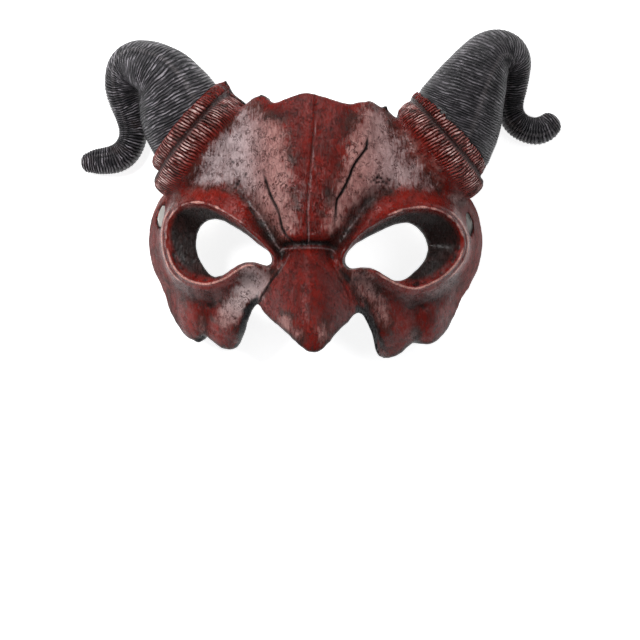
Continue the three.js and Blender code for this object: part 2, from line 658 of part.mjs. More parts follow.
function hornSocket(horn) {
  const plug = toSolid(facingOut(hornRings(horn, PLUG_LENGTH, FIT_GAP).slice(0, SOCKET_RINGS)));
  return plug.intersect(beyondPlace(horn, SOCKET_FLOOR));
}

// A slot for the elastic, through the flank of a temple
function strapSlot(side) {
  const tilt = inDegrees(SLOT_TILT);
  const inward = new THREE.Vector3(-side * Math.cos(tilt), 0, -Math.sin(tilt));
  const up = new THREE.Vector3(-side * Math.sin(tilt), 0, Math.cos(tilt));
  const crown = new THREE.Vector3(0, 1, 0);
  const slotY = side < 0 ? SLOT_Y_LEFT : SLOT_Y_RIGHT;
  const mouth = new THREE.Vector3(MIDDLE_X + side * SLOT_X, slotY, SLOT_Z);
  const rings = SLOT_REACH.map((reach) => {
    const middle = mouth.clone().addScaledVector(inward, reach);
    return ellipse(middle, crown, up, SLOT_LENGTH / 2, SLOT_HEIGHT / 2, (turn) =>
      1 / (Math.abs(Math.cos(turn)) ** SLOT_SQUARENESS + Math.abs(Math.sin(turn)) ** SLOT_SQUARENESS)
        ** (1 / SLOT_SQUARENESS));
  });
  return toSolid(facingOut(rings));
}

// The elastic: down from one temple slot, flat along the floor behind the brow, and up to the other
const STRAP_ROUTE = [[-97, 20.1, 23], [-91, 20, 20.4], [-85, 20.8, 17], [-79.5, 23, 13.2], [-74, 26.3, 9.8],
  [-68.5, 30.6, 6.7], [-62.5, 35.9, 4], [-56, 42, 2], [-48.5, 48.2, 1], [-39, 54.2, 0.8], [-27, 59.4, 0.8],
  [-13, 62.6, 0.8], [2, 63.4, 0.8], [17, 61.9, 0.8], [30.5, 57.8, 0.8], [42, 52, 0.8], [51.5, 45.8, 1],
  [59, 38.2, 2], [65.5, 31.6, 4], [71, 26.2, 6.7], [76, 21.9, 9.8], [81, 18.8, 13.2], [86.4, 16.5, 17],
  [92.2, 15.8, 20.4], [98.2, 15.7, 23]];

function strapSolid() {
  const route = STRAP_ROUTE.map(([x, y, z]) => new THREE.Vector3(x, y, z));
  const curve = new THREE.CatmullRomCurve3(route, false, 'centripetal');
  const steps = route.length - 1;
  const rings = [];
  for (let i = 0; i <= steps; i += 1) {
    const middle = curve.getPoint(i / steps);
    const tangent = curve.getTangent(i / steps);
    const wide = new THREE.Vector3(-tangent.y, tangent.x, 0).normalize();
    const thick = new THREE.Vector3().crossVectors(tangent, wide).normalize();
    const half = STRAP_WIDTH / 2;
    const deep = STRAP_THICKNESS / 2;
    const corners = [[half, -deep / 2], [half, deep / 2], [half - deep, deep], [deep - half, deep],
      [-half, deep / 2], [-half, -deep / 2], [deep - half, -deep], [half - deep, -deep]];
    rings.push(corners.map(([w, t]) => middle.clone().addScaledVector(wide, w).addScaledVector(thick, t)));
  }
  return toSolid(facingOut(rings));
}

const foamRed = new THREE.MeshStandardMaterial({ color: 0x6e1c18, roughness: 0.45, metalness: 0 });
const hornBlack = new THREE.MeshStandardMaterial({ color: 0x222225, roughness: 0.6, metalness: 0 });
const elasticWhite = new THREE.MeshStandardMaterial({ color: 0xd8d2c6, roughness: 0.9, metalness: 0 });

const mask = new THREE.Group();
function addPiece(name, solid, material) {
  const mesh = new THREE.Mesh(toGeometry(solid), material);
  mesh.name = name;
  mask.add(mesh);
}

const face = faceShell();
addPiece('half_mask', face, foamRed);
HORNS.forEach((horn) => addPiece(horn.name, hornSolid(horn), hornBlack));
const casting = new THREE.Box3().setFromObject(mask);
addPiece('elastic_strap', strapSolid(), elasticWhite);
const middle = casting.getCenter(new THREE.Vector3());
mask.position.set(-middle.x, -middle.y, -casting.min.z);

export default mask;
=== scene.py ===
"""Devil half mask lying face up on a pale floor: one painted foam casting with its two ribbed double
collars, two curled black horns plugged into them, and a flat elastic behind the brow."""

import json
import math

import bpy
import numpy as np
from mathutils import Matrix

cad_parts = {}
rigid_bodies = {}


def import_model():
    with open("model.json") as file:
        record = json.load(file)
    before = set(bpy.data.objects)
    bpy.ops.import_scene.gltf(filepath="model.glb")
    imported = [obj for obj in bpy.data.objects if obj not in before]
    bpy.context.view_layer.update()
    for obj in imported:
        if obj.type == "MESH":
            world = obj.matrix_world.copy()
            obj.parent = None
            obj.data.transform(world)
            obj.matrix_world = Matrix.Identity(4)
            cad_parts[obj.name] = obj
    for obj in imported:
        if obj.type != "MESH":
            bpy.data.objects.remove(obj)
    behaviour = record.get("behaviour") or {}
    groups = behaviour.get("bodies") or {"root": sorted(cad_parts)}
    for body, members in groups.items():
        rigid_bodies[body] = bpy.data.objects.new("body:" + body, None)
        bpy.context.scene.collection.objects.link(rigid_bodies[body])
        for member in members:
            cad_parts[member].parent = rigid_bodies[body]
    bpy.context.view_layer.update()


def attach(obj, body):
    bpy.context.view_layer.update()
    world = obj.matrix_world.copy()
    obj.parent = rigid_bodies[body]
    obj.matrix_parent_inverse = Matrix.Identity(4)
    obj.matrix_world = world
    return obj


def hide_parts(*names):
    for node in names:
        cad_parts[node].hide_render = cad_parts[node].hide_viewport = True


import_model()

# Shapes are worked out in millimetres in the face's own frame: x to the viewer's right, y up the
# forehead, z out of the face, with the rear rims of the temples on z = 0
MM = 0.001
ROW_ORIGIN = np.array([3.7535, 34.983, 0.0])

MIDDLE_X = 0.6
WALL = 4.6
FIELD = (-112, 112, -70, 98)
FINE_SPACING = 1.0
HOLLOW_SPACING = 2.0
FRONT_FLOOR = -30
HOLLOW_FLOOR = -60
OVER_ALL = 130
BLOCK_REACH = 400
FLOOR_SIZE = 6.0

# Camera, straight above as the photograph looks at the face
CAMERA_AT = (-0.00045, -0.07698, 1.4)
CAMERA_LENS = 126.56


def to_row(points):
    return (np.asarray(points, float) - ROW_ORIGIN) * MM


def mix(a, b, share):
    return a + (b - a) * share


def smooth_step(low, high, value):
    share = np.clip((value - low) / (high - low), 0, 1)
    return share * share * (3 - 2 * share)


def bump(distance, width):
    return np.exp(-((distance / width) ** 2))


def aside(x):
    """Distance from the middle of the face."""
    return np.abs(x - MIDDLE_X)


def tent(distance, width):
    """Falls evenly from 1 on a line to 0 at a width from it."""
    return np.clip(1 - np.abs(distance) / width, 0, 1)


def unit(rows):
    return rows / np.linalg.norm(rows, axis=1)[:, None]


def square_to(tangent):
    """Two unit directions across a line: a level one, and one up from it."""
    level = unit(np.column_stack([tangent[:, 1], -tangent[:, 0], np.zeros(len(tangent))]))
    return level, np.cross(level, tangent)


def running_length(line):
    """How far along a line each of its points lies."""
    return np.concatenate([[0], np.cumsum(np.linalg.norm(np.diff(line, axis=0), axis=1))])


def at_distance(at, line, distance):
    """Places on a line of points, by distance along it."""
    return np.column_stack([np.interp(distance, at, line[:, i]) for i in range(3)])


def through_stations(stations, places):
    """A smooth curve through (place, value) stations, at many places at once."""
    at = np.array([s[0] for s in stations], float)
    value = np.array([s[1] for s in stations], float)
    slope = np.empty(len(at))
    slope[1:-1] = (value[2:] - value[:-2]) / (at[2:] - at[:-2])
    slope[0] = (value[1] - value[0]) / (at[1] - at[0])
    slope[-1] = (value[-1] - value[-2]) / (at[-1] - at[-2])
    places = np.clip(places, at[0], at[-1])
    i = np.clip(np.searchsorted(at, places, side="right") - 1, 0, len(at) - 2)
    span = at[i + 1] - at[i]
    t = (places - at[i]) / span
    start = value[i] * (2 * t**3 - 3 * t**2 + 1) + slope[i] * span * (t**3 - 2 * t**2 + t)
    end = value[i + 1] * (3 * t**2 - 2 * t**3) + slope[i + 1] * span * (t**3 - t**2)
    return start + end


def smooth_line(points, closed=False, steps=8):
    """Points of a smooth curve through the given ones, in any number of dimensions."""
    points = np.asarray(points, float)
    if closed:
        padded = np.vstack([points[-1:], points, points[:2]])
    else:
        padded = np.vstack([2 * points[0] - points[1], points, 2 * points[-1] - points[-2]])
    out = []
    for i in range(len(padded) - 3):
        a, b, c, d = padded[i : i + 4]
        for t in np.arange(steps) / steps:
            turn = (2 * a - 5 * b + 4 * c - d) * t**2
            out.append(0.5 * (2 * b + (c - a) * t + turn + (3 * b - a - 3 * c + d) * t**3))
    return np.array(out if closed else [*out, points[-1]])


def smoothed(lines, closed=False):
    return [smooth_line(points, closed=closed, steps=4) for points in lines]


def distance_to_line(x, y, line, closed=False):
    """Distance of each place to a line of points, and how far along the line its nearest point is, 0 to 1."""
    ends = np.vstack([line, line[:1]]) if closed else line
    lengths = np.hypot(*(ends[1:] - ends[:-1]).T)
    before = np.concatenate([[0], np.cumsum(lengths)])
    best = np.full(len(x), np.inf)
    along = np.zeros(len(x))
    for i in range(len(ends) - 1):
        (ax, ay), (bx, by) = ends[i], ends[i + 1]
        dx, dy = bx - ax, by - ay
        t = np.clip(((x - ax) * dx + (y - ay) * dy) / max(dx * dx + dy * dy, 1e-12), 0, 1)
        far = np.hypot(x - ax - t * dx, y - ay - t * dy)
        nearer = far < best
        best[nearer] = far[nearer]
        along[nearer] = (before[i] + t[nearer] * lengths[i]) / before[-1]
    return best, along


def is_inside(x, y, loop):
    inside = np.zeros(len(x), bool)
    ax, ay = loop[-1]
    for bx, by in loop:
        crosses = (by > y) != (ay > y)
        if abs(ay - by) > 1e-12:
            inside ^= crosses & (x < (ax - bx) * (y - by) / (ay - by) + bx)
        ax, ay = bx, by
    return inside


def signed_distance(x, y, loop):
    """Distance to a closed line, negative inside it."""
    far = distance_to_line(x, y, loop, closed=True)[0]
    return np.where(is_inside(x, y, loop), -far, far)


def wobble(points, size, seed):
    """A smooth random field of about -1 to 1, with swells of about a given size."""
    random = np.random.default_rng(seed)
    waves = 14
    directions = random.normal(size=(waves, points.shape[1]))
    directions /= np.linalg.norm(directions, axis=1)[:, None]
    turns = 2 * math.pi / size * random.uniform(0.6, 1.5, (waves, 1))
    phases = random.uniform(0, 2 * math.pi, waves)
    return np.sin(points @ (directions * turns).T + phases).sum(1) / math.sqrt(waves)


def between_caps(along, rows):
    """The share of the way along a skin, whose first and last rows draw its ends together."""
    return np.clip((along * rows - 1) / (rows - 2), 0, 1)


def drawn_together(along, size):
    return np.where((along == 0) | (along == 1), 0, size)


def rib_profile(phase):
    return np.abs(np.sin(math.pi * phase)) ** 0.8 - 0.6


# The face's drawn lines
OUTLINE_STRETCHES = [
    [(-46, 86), (-42.5, 86.9), (-38.4, 90.3), (-33, 91.9), (-28.2, 90), (-23.4, 87.4), (-13.3, 91.1),
     (-3.2, 93.2), (9.2, 89.6), (18.7, 86.7), (28.3, 88.4), (34.2, 88.6), (40.3, 85.6), (46.3, 82.2)],
    [(46.3, 82.2), (70, 58.5), (88, 40), (96.5, 32)],
    [(96.5, 32), (101, 26.5), (107, 20)],
    [(107, 20), (107, -17)],
    [(107, -17), (96.4, -22), (90.5, -28.7), (86, -38.7), (80.2, -48.5), (75.1, -54.3), (70, -57),
     (65.5, -56.6), (61.8, -54.6)],
    [(61.8, -54.6), (56.8, -57.8), (51.3, -62.5), (45.6, -64.9), (40.2, -64.4), (36.9, -60.4),
     (34.7, -52.2), (31.4, -43.7), (28.8, -39), (25.6, -37.8), (23.4, -38.8)],
    [(23.4, -38.8), (19.1, -43.8), (14, -48.6), (9.5, -54), (3.9, -59.4), (-0.3, -60.9), (-4.2, -60),
     (-9, -56.3), (-15, -50.6), (-22.2, -44.8), (-28.7, -38.4), (-33.1, -32.1)],
    [(-33.1, -32.1), (-36.2, -34.4), (-38.3, -38.7), (-40.8, -45.6), (-43.2, -52.7), (-46, -58),
     (-50.6, -59.8), (-56.7, -58.7), (-62.7, -54.4), (-66.9, -50.2)],
    [(-66.9, -50.2), (-71.6, -53.8), (-76.1, -53.8), (-80.1, -50.6), (-85, -43.2), (-89.8, -34.6),
     (-93.5, -24.7), (-107, -20)],
    [(-107, -20), (-107, 19)],
    [(-107, 19), (-101, 24), (-95.4, 33)],
    [(-95.4, 33), (-83, 43), (-66, 60), (-46, 86)],
]
EYE_HOLES = [
    [(-62.1, 18), (-68.1, 14.4), (-71.2, 8.4), (-71.5, 2.4), (-69.7, -4.2), (-65.9, -10.7), (-62.1, -14.7),
     (-57.9, -16.2), (-53.1, -14.7), (-47.7, -11.1), (-42.9, -8.4), (-38.1, -7.7), (-32.7, -8.4),
     (-27.9, -9.9), (-25.2, -7.5), (-26.5, -2.5), (-32.7, 2.4), (-39.1, 7.7), (-46.8, 13), (-54.4, 16.8)],
    [(53.9, 15.8), (59.1, 14.7), (63.9, 10.8), (67.2, 6), (68.3, 1.2), (66.9, -4.2), (63.6, -9.3),
     (59.1, -13.8), (53.9, -17.5), (47.7, -18.4), (40.8, -15.8), (34.5, -11.7), (27.9, -10.9),
     (21, -11.2), (18.2, -7.4), (19.8, -2.4), (24.3, 2.7), (30.3, 6.5), (38.1, 10.5), (45.9, 13.8)],
]
RIM_CRESTS = [
    [(-23, -5.5), (-31, 4.6), (-38.7, 11.6), (-46.8, 17.6), (-55.5, 23), (-65.7, 27.2), (-75.9, 27.3),
     (-83.7, 23.4), (-88.3, 15.6), (-88.9, 5.4), (-87.1, -4.2), (-83.1, -12), (-76.5, -17.4), (-67.8, -20.2),
     (-60.3, -19.8), (-52.5, -16.8), (-44.9, -12), (-39, -9.6), (-32.7, -10.4), (-26.5, -12)],
    [(16, -6), (21.4, 3.4), (27.3, 9.4), (33.9, 14), (42.7, 19), (52.4, 22.8), (60.9, 24.3), (69.3, 24),
     (77.1, 21.6), (83.7, 16.8), (88.2, 10.2), (89.4, 3), (87.3, -4.2), (82.5, -10.8), (75.9, -16.5),
     (68.1, -20.7), (60.3, -23.1), (51, -21.3), (41.1, -16.6), (34.7, -13.2), (26.7, -12.8), (19, -13)],
]
BROW_VALLEYS = [
    [(-20, -2), (-23.8, 1.5), (-27.6, 8.5), (-31.5, 16), (-36.8, 25.4), (-42, 33), (-49, 38.5), (-59, 42)],
    [(10.5, -1), (14.5, 4), (19.9, 10.8), (25.2, 19.3), (31.3, 27), (38, 32.5), (48, 37.5)],
]
CHEEK_VALLEYS = [
    [(-37, -17), (-45, -20), (-53, -26), (-62, -29.5), (-72, -28), (-81, -21)],
    [(29, -18), (40, -24), (50, -29.5), (62, -31.5), (74, -27), (84, -17)],
]
NOTCH_VALLEYS = [[(-61, -33), (-64.5, -42), (-66.9, -52)], [(62, -35), (62.5, -45), (61.8, -56)]]
LOBES = [(-75, -44), (-52, -50), (45, -53), (73, -46)]
PANEL_EDGES = [
    [(0, -14), (11.7, -18.5), (21, -21), (28, -24.5), (36.2, -27.6), (46, -31), (60, -35), (80, -38),
     (96, -40)],
    [(0, 9), (10, 12), (21, 12.9), (28, 14), (34.7, 17.5), (41.5, 20.6), (49.2, 23.6), (58.4, 30),
     (70, 34), (96, 38)],
]
HALF_WIDTH_STATIONS = [
    (-60, 88), (-40, 93), (-22, 95.5), (-10, 101), (6, 103.8), (20, 102), (30, 98.5), (45, 92.5),
    (60, 84.5), (75, 76.5), (92, 66),
]

# The edges of the two notches beside the nose, from a little way up the nose along the outline
NOTCH_EDGES = [
    [(-31, -33.5), *OUTLINE_STRETCHES[7][:6]],
    [(21.5, -40.5), *OUTLINE_STRETCHES[5][:-7:-1]],
]

crest_lines, hole_lines = smoothed(RIM_CRESTS, closed=True), smoothed(EYE_HOLES, closed=True)
brow_lines, cheek_lines = smoothed(BROW_VALLEYS), smoothed(CHEEK_VALLEYS)
notch_lines, notch_edges = smoothed(NOTCH_VALLEYS), smoothed(NOTCH_EDGES)
outline = np.vstack([line[:-1] for line in smoothed(OUTLINE_STRETCHES)])


# The carved face as a height over the floor
def dome_height(x, y):
    fall = np.where(y > 15, 0.0034, 0.0062)
    middle = 82 - fall * (y - 15) ** 2
    share = aside(x) / through_stations(HALF_WIDTH_STATIONS, y)
    inside = middle * np.maximum(1 - share**2.2, 0) ** 0.6
    return np.where(share < 1, inside, -middle * (share - 1) * 8)


def nose_height(x, y):
    ridge = 82 - 0.95 * y - 0.0105 * y**2
    middle = mix(-4.4, -0.4, smooth_step(0, 60, -y))
    return ridge - 0.1 * np.abs(x - middle) ** 1.7


def panel_inside(x, y):
    left = through_stations(PANEL_EDGES[0], y)
    right = through_stations(PANEL_EDGES[1], y)
    return np.minimum(x - left, right - x)


def nearest(x, y, lines):
    return np.min([distance_to_line(x, y, line)[0] for line in lines], axis=0)


def crest_distance(x, y):
    return np.min([signed_distance(x, y, line) for line in crest_lines], axis=0)


def face_height(x, y):
    crest = crest_distance(x, y)
    rise = mix(2.5, 10, smooth_step(35, 88, aside(x)))
    base = dome_height(x, y) + rise * bump(np.maximum(crest, 0), 7)
    into = np.minimum(crest, 0)
    socket = base + 1.05 * into - 3 * (1 - np.exp(into / 2))
    opening = smooth_step(0, 4, crest)
    fade = 1 - smooth_step(42, 60, aside(x))
    height = base - 5 * bump(nearest(x, y, brow_lines), 5.5) * opening * fade
    height -= 3 * bump(nearest(x, y, cheek_lines), 6) * opening
    height -= 3 * bump(nearest(x, y, notch_lines), 6)
    for lobe_x, lobe_y in LOBES:
        height += 4 * bump(np.hypot(x - lobe_x, y - lobe_y), 12)
    height += 1.6 * smooth_step(-2.5, 2.5, panel_inside(x, y)) * smooth_step(-4, 8, y)
    height -= 4 * bump(nearest(x, y, notch_edges), 2.6)
    height = np.where(y > 0, height, np.maximum(height, nose_height(x, y)))
    return np.where(crest < 0, socket, height)


LEFT, RIGHT, LOW, HIGH = FIELD
lattice_x = np.arange(LEFT, RIGHT + 0.5, FINE_SPACING)
lattice_y = np.arange(LOW, HIGH + 0.5, FINE_SPACING)
grid_x, grid_y = np.meshgrid(lattice_x, lattice_y)
face_lattice = face_height(grid_x.ravel(), grid_y.ravel()).reshape(grid_x.shape)
slope_y, slope_x = np.gradient(face_lattice, FINE_SPACING)


def from_lattice(lattice, x, y):
    """A lattice's values between its own points."""
    u = np.clip((x - LEFT) / FINE_SPACING, 0, lattice.shape[1] - 1.001)
    v = np.clip((y - LOW) / FINE_SPACING, 0, lattice.shape[0] - 1.001)
    i, j = u.astype(int), v.astype(int)
    a, b = u - i, v - j
    lower = lattice[j, i] * (1 - a) + lattice[j, i + 1] * a
    upper = lattice[j + 1, i] * (1 - a) + lattice[j + 1, i + 1] * a
    return lower * (1 - b) + upper * b


def hollow_height(x, y):
    """The hollow side: the face moved in by the wall on every side."""
    height = from_lattice(face_lattice, x, y) - WALL
    for share in (0.5, 0.86, 1):
        for angle in np.arange(12) / 12 * 2 * math.pi:
            side = from_lattice(
                face_lattice, x + WALL * share * math.cos(angle), y + WALL * share * math.sin(angle)
            )
            height = np.minimum(height, side - WALL * math.sqrt(1 - share * share))
    return height


# Blender helpers
def points_of(obj):
    co = np.empty(len(obj.data.vertices) * 3, np.float32)
    obj.data.vertices.foreach_get("co", co)
    return co.reshape(-1, 3).astype(float)


def face_points(obj):
    return points_of(obj) / MM + ROW_ORIGIN


def put_face_points(obj, points):
    obj.data.vertices.foreach_set("co", np.asarray(to_row(points), np.float32).ravel())
    obj.data.update()


def only(obj):
    bpy.ops.object.select_all(action="DESELECT")
    obj.select_set(True)
    bpy.context.view_layer.objects.active = obj


def in_edit_mode(obj, *steps):
    only(obj)
    bpy.ops.object.mode_set(mode="EDIT")
    bpy.ops.mesh.select_mode(type="VERT")
    bpy.ops.mesh.select_all(action="SELECT")
    for step in steps:
        step()
    bpy.ops.object.mode_set(mode="OBJECT")


def thicken_down():
    bpy.ops.mesh.extrude_region_move(TRANSFORM_OT_translate={"value": (0, 0, -MM)})


def face_outwards():
    bpy.ops.mesh.select_all(action="SELECT")
    bpy.ops.mesh.normals_make_consistent(inside=False)


def close_seams():
    bpy.ops.mesh.remove_doubles(threshold=1e-6)


def sunk_to(obj, level):
    """Moves the vertices that an extrusion has just made to one level, which closes the block."""
    points = face_points(obj)
    made = np.zeros(len(points), bool)
    obj.data.vertices.foreach_get("select", made)
    points[made, 2] = level
    put_face_points(obj, points)
    in_edit_mode(obj, face_outwards)


def height_block(name, spacing, height_of, level):
    across = round((RIGHT - LEFT) / spacing)
    rows = round((HIGH - LOW) / spacing)
    bpy.ops.object.select_all(action="DESELECT")
    bpy.ops.mesh.primitive_grid_add(x_subdivisions=across, y_subdivisions=rows, size=1)
    block = bpy.context.object
    block.name = name
    square = points_of(block) + 0.5
    x = mix(LEFT, RIGHT, square[:, 0])
    y = mix(LOW, HIGH, square[:, 1])
    put_face_points(block, np.column_stack([x, y, np.maximum(height_of(x, y), level + 1)]))
    in_edit_mode(block, thicken_down)
    sunk_to(block, level)
    return block


def prism(name, loop, low, high):
    bpy.ops.object.select_all(action="DESELECT")
    bpy.ops.mesh.primitive_circle_add(vertices=len(loop), radius=1, fill_type="NGON")
    block = bpy.context.object
    block.name = name
    put_face_points(block, np.column_stack([loop, np.full(len(loop), high)]))
    in_edit_mode(block, thicken_down)
    sunk_to(block, low)
    return block


def wrapped_grid(name, around, rows, place):
    """A grid closed round into a skin. place gives face-frame points for shares around and along, and
    draws both ends together."""
    bpy.ops.object.select_all(action="DESELECT")
    bpy.ops.mesh.primitive_grid_add(x_subdivisions=around, y_subdivisions=rows, size=1)
    skin = bpy.context.object
    skin.name = name
    square = points_of(skin) + 0.5
    turn = np.round(square[:, 0] * around) % around / around
    put_face_points(skin, place(turn, np.round(square[:, 1] * rows) / rows))
    in_edit_mode(skin, close_seams, face_outwards)
    return skin


def join_or_cut(target, tool, operation):
    only(target)
    modifier = target.modifiers.new("shape", "BOOLEAN")
    modifier.operation = operation
    modifier.solver = "MANIFOLD"
    modifier.object = tool
    bpy.ops.object.modifier_apply(modifier=modifier.name)
    bpy.data.objects.remove(tool)


def applied(obj, kind, **values):
    only(obj)
    modifier = obj.modifiers.new("finish", kind)
    for key, value in values.items():
        setattr(modifier, key, value)
    bpy.ops.object.modifier_apply(modifier=modifier.name)


def applied_to(obj, chosen, kind, **values):
    """Applies a modifier to the chosen points alone."""
    group = obj.vertex_groups.new(name="chosen")
    group.add(np.flatnonzero(chosen).tolist(), 1.0, "REPLACE")
    applied(obj, kind, vertex_group=group.name, **values)
    obj.vertex_groups.clear()


def keep_values(obj, name, values):
    attribute = obj.data.attributes.new(name, "FLOAT", "POINT")
    attribute.data.foreach_set("value", np.asarray(values, np.float32))


def keep_masks(obj, **masks):
    """Keeps shares of 0 to 1 at the points, for the paint."""
    for name, values in masks.items():
        keep_values(obj, name, np.clip(values, 0, 1))


def normals_of(obj):
    normals = np.empty(len(obj.data.vertices) * 3, np.float32)
    obj.data.vertex_normals.foreach_get("vector", normals)
    return normals.reshape(-1, 3).astype(float)


def edge_ends(obj):
    edges = np.empty(len(obj.data.edges) * 2, np.int32)
    obj.data.edges.foreach_get("vertices", edges)
    return edges.reshape(-1, 2).T


def hollowness(obj, rounds):
    """How far each point lies under (+) or over (-) the surface smoothed by some rounds, in millimetres."""
    points = face_points(obj)
    a, b = edge_ends(obj)
    count = len(points)
    neighbours = np.maximum(np.bincount(a, minlength=count) + np.bincount(b, minlength=count), 1)
    smooth = points.copy()
    for _ in range(rounds):
        for axis in range(3):
            column = smooth[:, axis]
            total = np.bincount(a, column[b], count) + np.bincount(b, column[a], count)
            smooth[:, axis] = 0.5 * column + 0.5 * total / neighbours
    return ((smooth - points) * normals_of(obj)).sum(1)


# Horns and their collars. A collar is placed by the line between its two rings. A slide moves a ring or
# a foot along that line, towards the crown. The stations of a horn are (x, y, z, half width), and the
# lights say how strong the painted light is on a horn's dry brush and on its collar's shoulders: the left
# horn and collar are painted lighter, as the light falls from the left.
COLLAR_HEIGHT = 32
COLLAR_DEPTH_SHARE = 0.83
COLLAR_POINTS = 96
LOWER_RING_WIDTH = 17
UPPER_RING_WIDTH = 9
RING_ROUNDING = 3.2
RING_OVERLAP = 1.5
PLUG_LENGTH = 24
SOCKET_FLOOR = 3.5
FIT_GAP = 0.3
HORN_DEPTH_SHARE = 0.86
KEEL_ANGLE = math.radians(65)

HORNS = {
    "left": {
        "seam": (-74.4, 69.9, COLLAR_HEIGHT), "axis": (-0.764, 0.645), "lean_back": 3,
        "lower": (36.3, -2.4), "upper": (33, 3.6), "foot": (27.4, 6.4, 10.5),
        "horn_light": 1.0, "collar_light": 1.0, "rib_seed": 20,
        "stations": [
            (-81.5, 88.1, 32.6, 25.8), (-85.4, 96.2, 33.3, 23.2), (-90.3, 104.1, 33, 19.8),
            (-96.2, 109.4, 31, 17.2), (-102.5, 112.9, 28, 15.6), (-108.6, 114.7, 24, 13.9),
            (-113.9, 113, 19.6, 12.6), (-117.1, 108, 15.6, 11.6), (-118.3, 100.5, 12.4, 10.7),
            (-116.6, 92, 10.2, 9.9), (-113.9, 84.1, 9.2, 9.2), (-112.3, 76.1, 8.5, 8.7),
            (-113, 68.7, 8.3, 8.5), (-116.6, 61.9, 8.3, 8.6), (-122.3, 57.8, 8.2, 8.5),
            (-129.1, 56.4, 7.8, 8), (-135.6, 56, 7.2, 7.2), (-140, 55.4, 6.8, 5.8)],
    },
    "right": {
        "seam": (80.5, 67.7, COLLAR_HEIGHT), "axis": (0.75, 0.661), "lean_back": 0,
        "lower": (35, -1.6), "upper": (31.7, 2.2), "foot": (28.4, 4.4, 9.5),
        "horn_light": 0.5, "collar_light": 0.8, "rib_seed": 50,
        "stations": [
            (88.7, 86.2, 32.6, 26.9), (92.9, 95.7, 33.4, 23.8), (97.1, 104.4, 33.3, 20.9),
            (101.3, 112.2, 32, 17.8), (106.3, 118.8, 29.4, 15.2), (112.3, 121.8, 26, 13.4),
            (118, 120.8, 21.8, 12.2), (121.4, 116.1, 17.6, 11.1), (122.2, 109.2, 13.8, 9.9),
            (121.8, 101.8, 11.2, 9.1), (120.9, 94.6, 9.2, 8.5), (121.2, 87.4, 8.3, 8.2),
            (124.6, 80.6, 8, 8.1), (130.7, 76.5, 7.9, 8.1), (137.3, 75.2, 7.8, 8.1),
            (142.4, 76.8, 7.5, 7.9), (145.8, 79.4, 7.2, 7.2)],
    },
}


def horn_frame(horn):
    """The axis of a horn where it stands in its collar, and the two directions across it."""
    lean = math.radians(horn["lean_back"])
    ax, ay = horn["axis"]
    axis = np.array([ax * math.cos(lean), ay * math.cos(lean), -math.sin(lean)])
    across = np.array([-ay, ax, 0.0]) * (-1 if ax < 0 else 1)
    across /= np.linalg.norm(across)
    out = np.cross(axis, across)
    return axis, across, out if out[2] > 0 else -out


def place_on_axis(horn, at, slide):
    axis, across = horn_frame(horn)[:2]
    return np.array(horn["seam"]) + axis * at + across * slide


def round_collar(horn, middle, at, size, turn):
    """Points round a collar: some way along its axis from its middle, and at some radius."""
    axis, across, out = horn_frame(horn)
    angle = turn * 2 * math.pi
    return (
        middle
        + np.outer(at, axis)
        + np.outer(size * np.cos(angle), across)
        + np.outer(size * np.sin(angle) * COLLAR_DEPTH_SHARE, out)
    )


def collar_ring(name, horn, ring, start, width):
    """A drum with rounded edges, closed at both ends."""
    radius, slide = ring
    middle = place_on_axis(horn, start + width / 2, slide)
    rows = 12

    def place(turn, along):
        place_across = np.sin((between_caps(along, rows) - 0.5) * math.pi)
        size = drawn_together(along, radius - RING_ROUNDING * np.abs(place_across) ** 3.5)
        return round_collar(horn, middle, place_across * width / 2, size, turn)

    return wrapped_grid(name, COLLAR_POINTS, rows, place)


# Places along the axis, and the share of the lower ring's radius there
COLLAR_FOOT_STATIONS = [(-29, 0.72), (-25, 0.78), (-21, 0.87), (-17, 0.955), (-13, 0.985)]


def collar_foot(name, horn):
    """The slope on which the lower ring runs out into the forehead."""
    radius, slide = horn["lower"]
    start, stop = COLLAR_FOOT_STATIONS[0][0], COLLAR_FOOT_STATIONS[-1][0]
    rows = 14

    def place(turn, along):
        at = mix(start, stop, between_caps(along, rows))
        size = drawn_together(along, radius * through_stations(COLLAR_FOOT_STATIONS, at))
        return round_collar(horn, place_on_axis(horn, 0, slide), at, size, turn)

    return wrapped_grid(name, COLLAR_POINTS, rows, place)


def horn_line(horn):
    """The horn's centre line and half widths from its foot to its tip, by distance along it."""
    foot_radius, foot_slide, foot_at = horn["foot"]
    start = [*place_on_axis(horn, foot_at, foot_slide), foot_radius]
    fine = smooth_line([start, *horn["stations"]], steps=24)
    return running_length(fine[:, :3]), fine


HORN_RIB_PERIOD = 1.55
HORN_RIB_DEPTH = 0.42
# Faces round a horn's skin and along it, as a casting and as the cutter of its socket
HORN_FACES = (64, 860)
SOCKET_FACES = (48, 60)


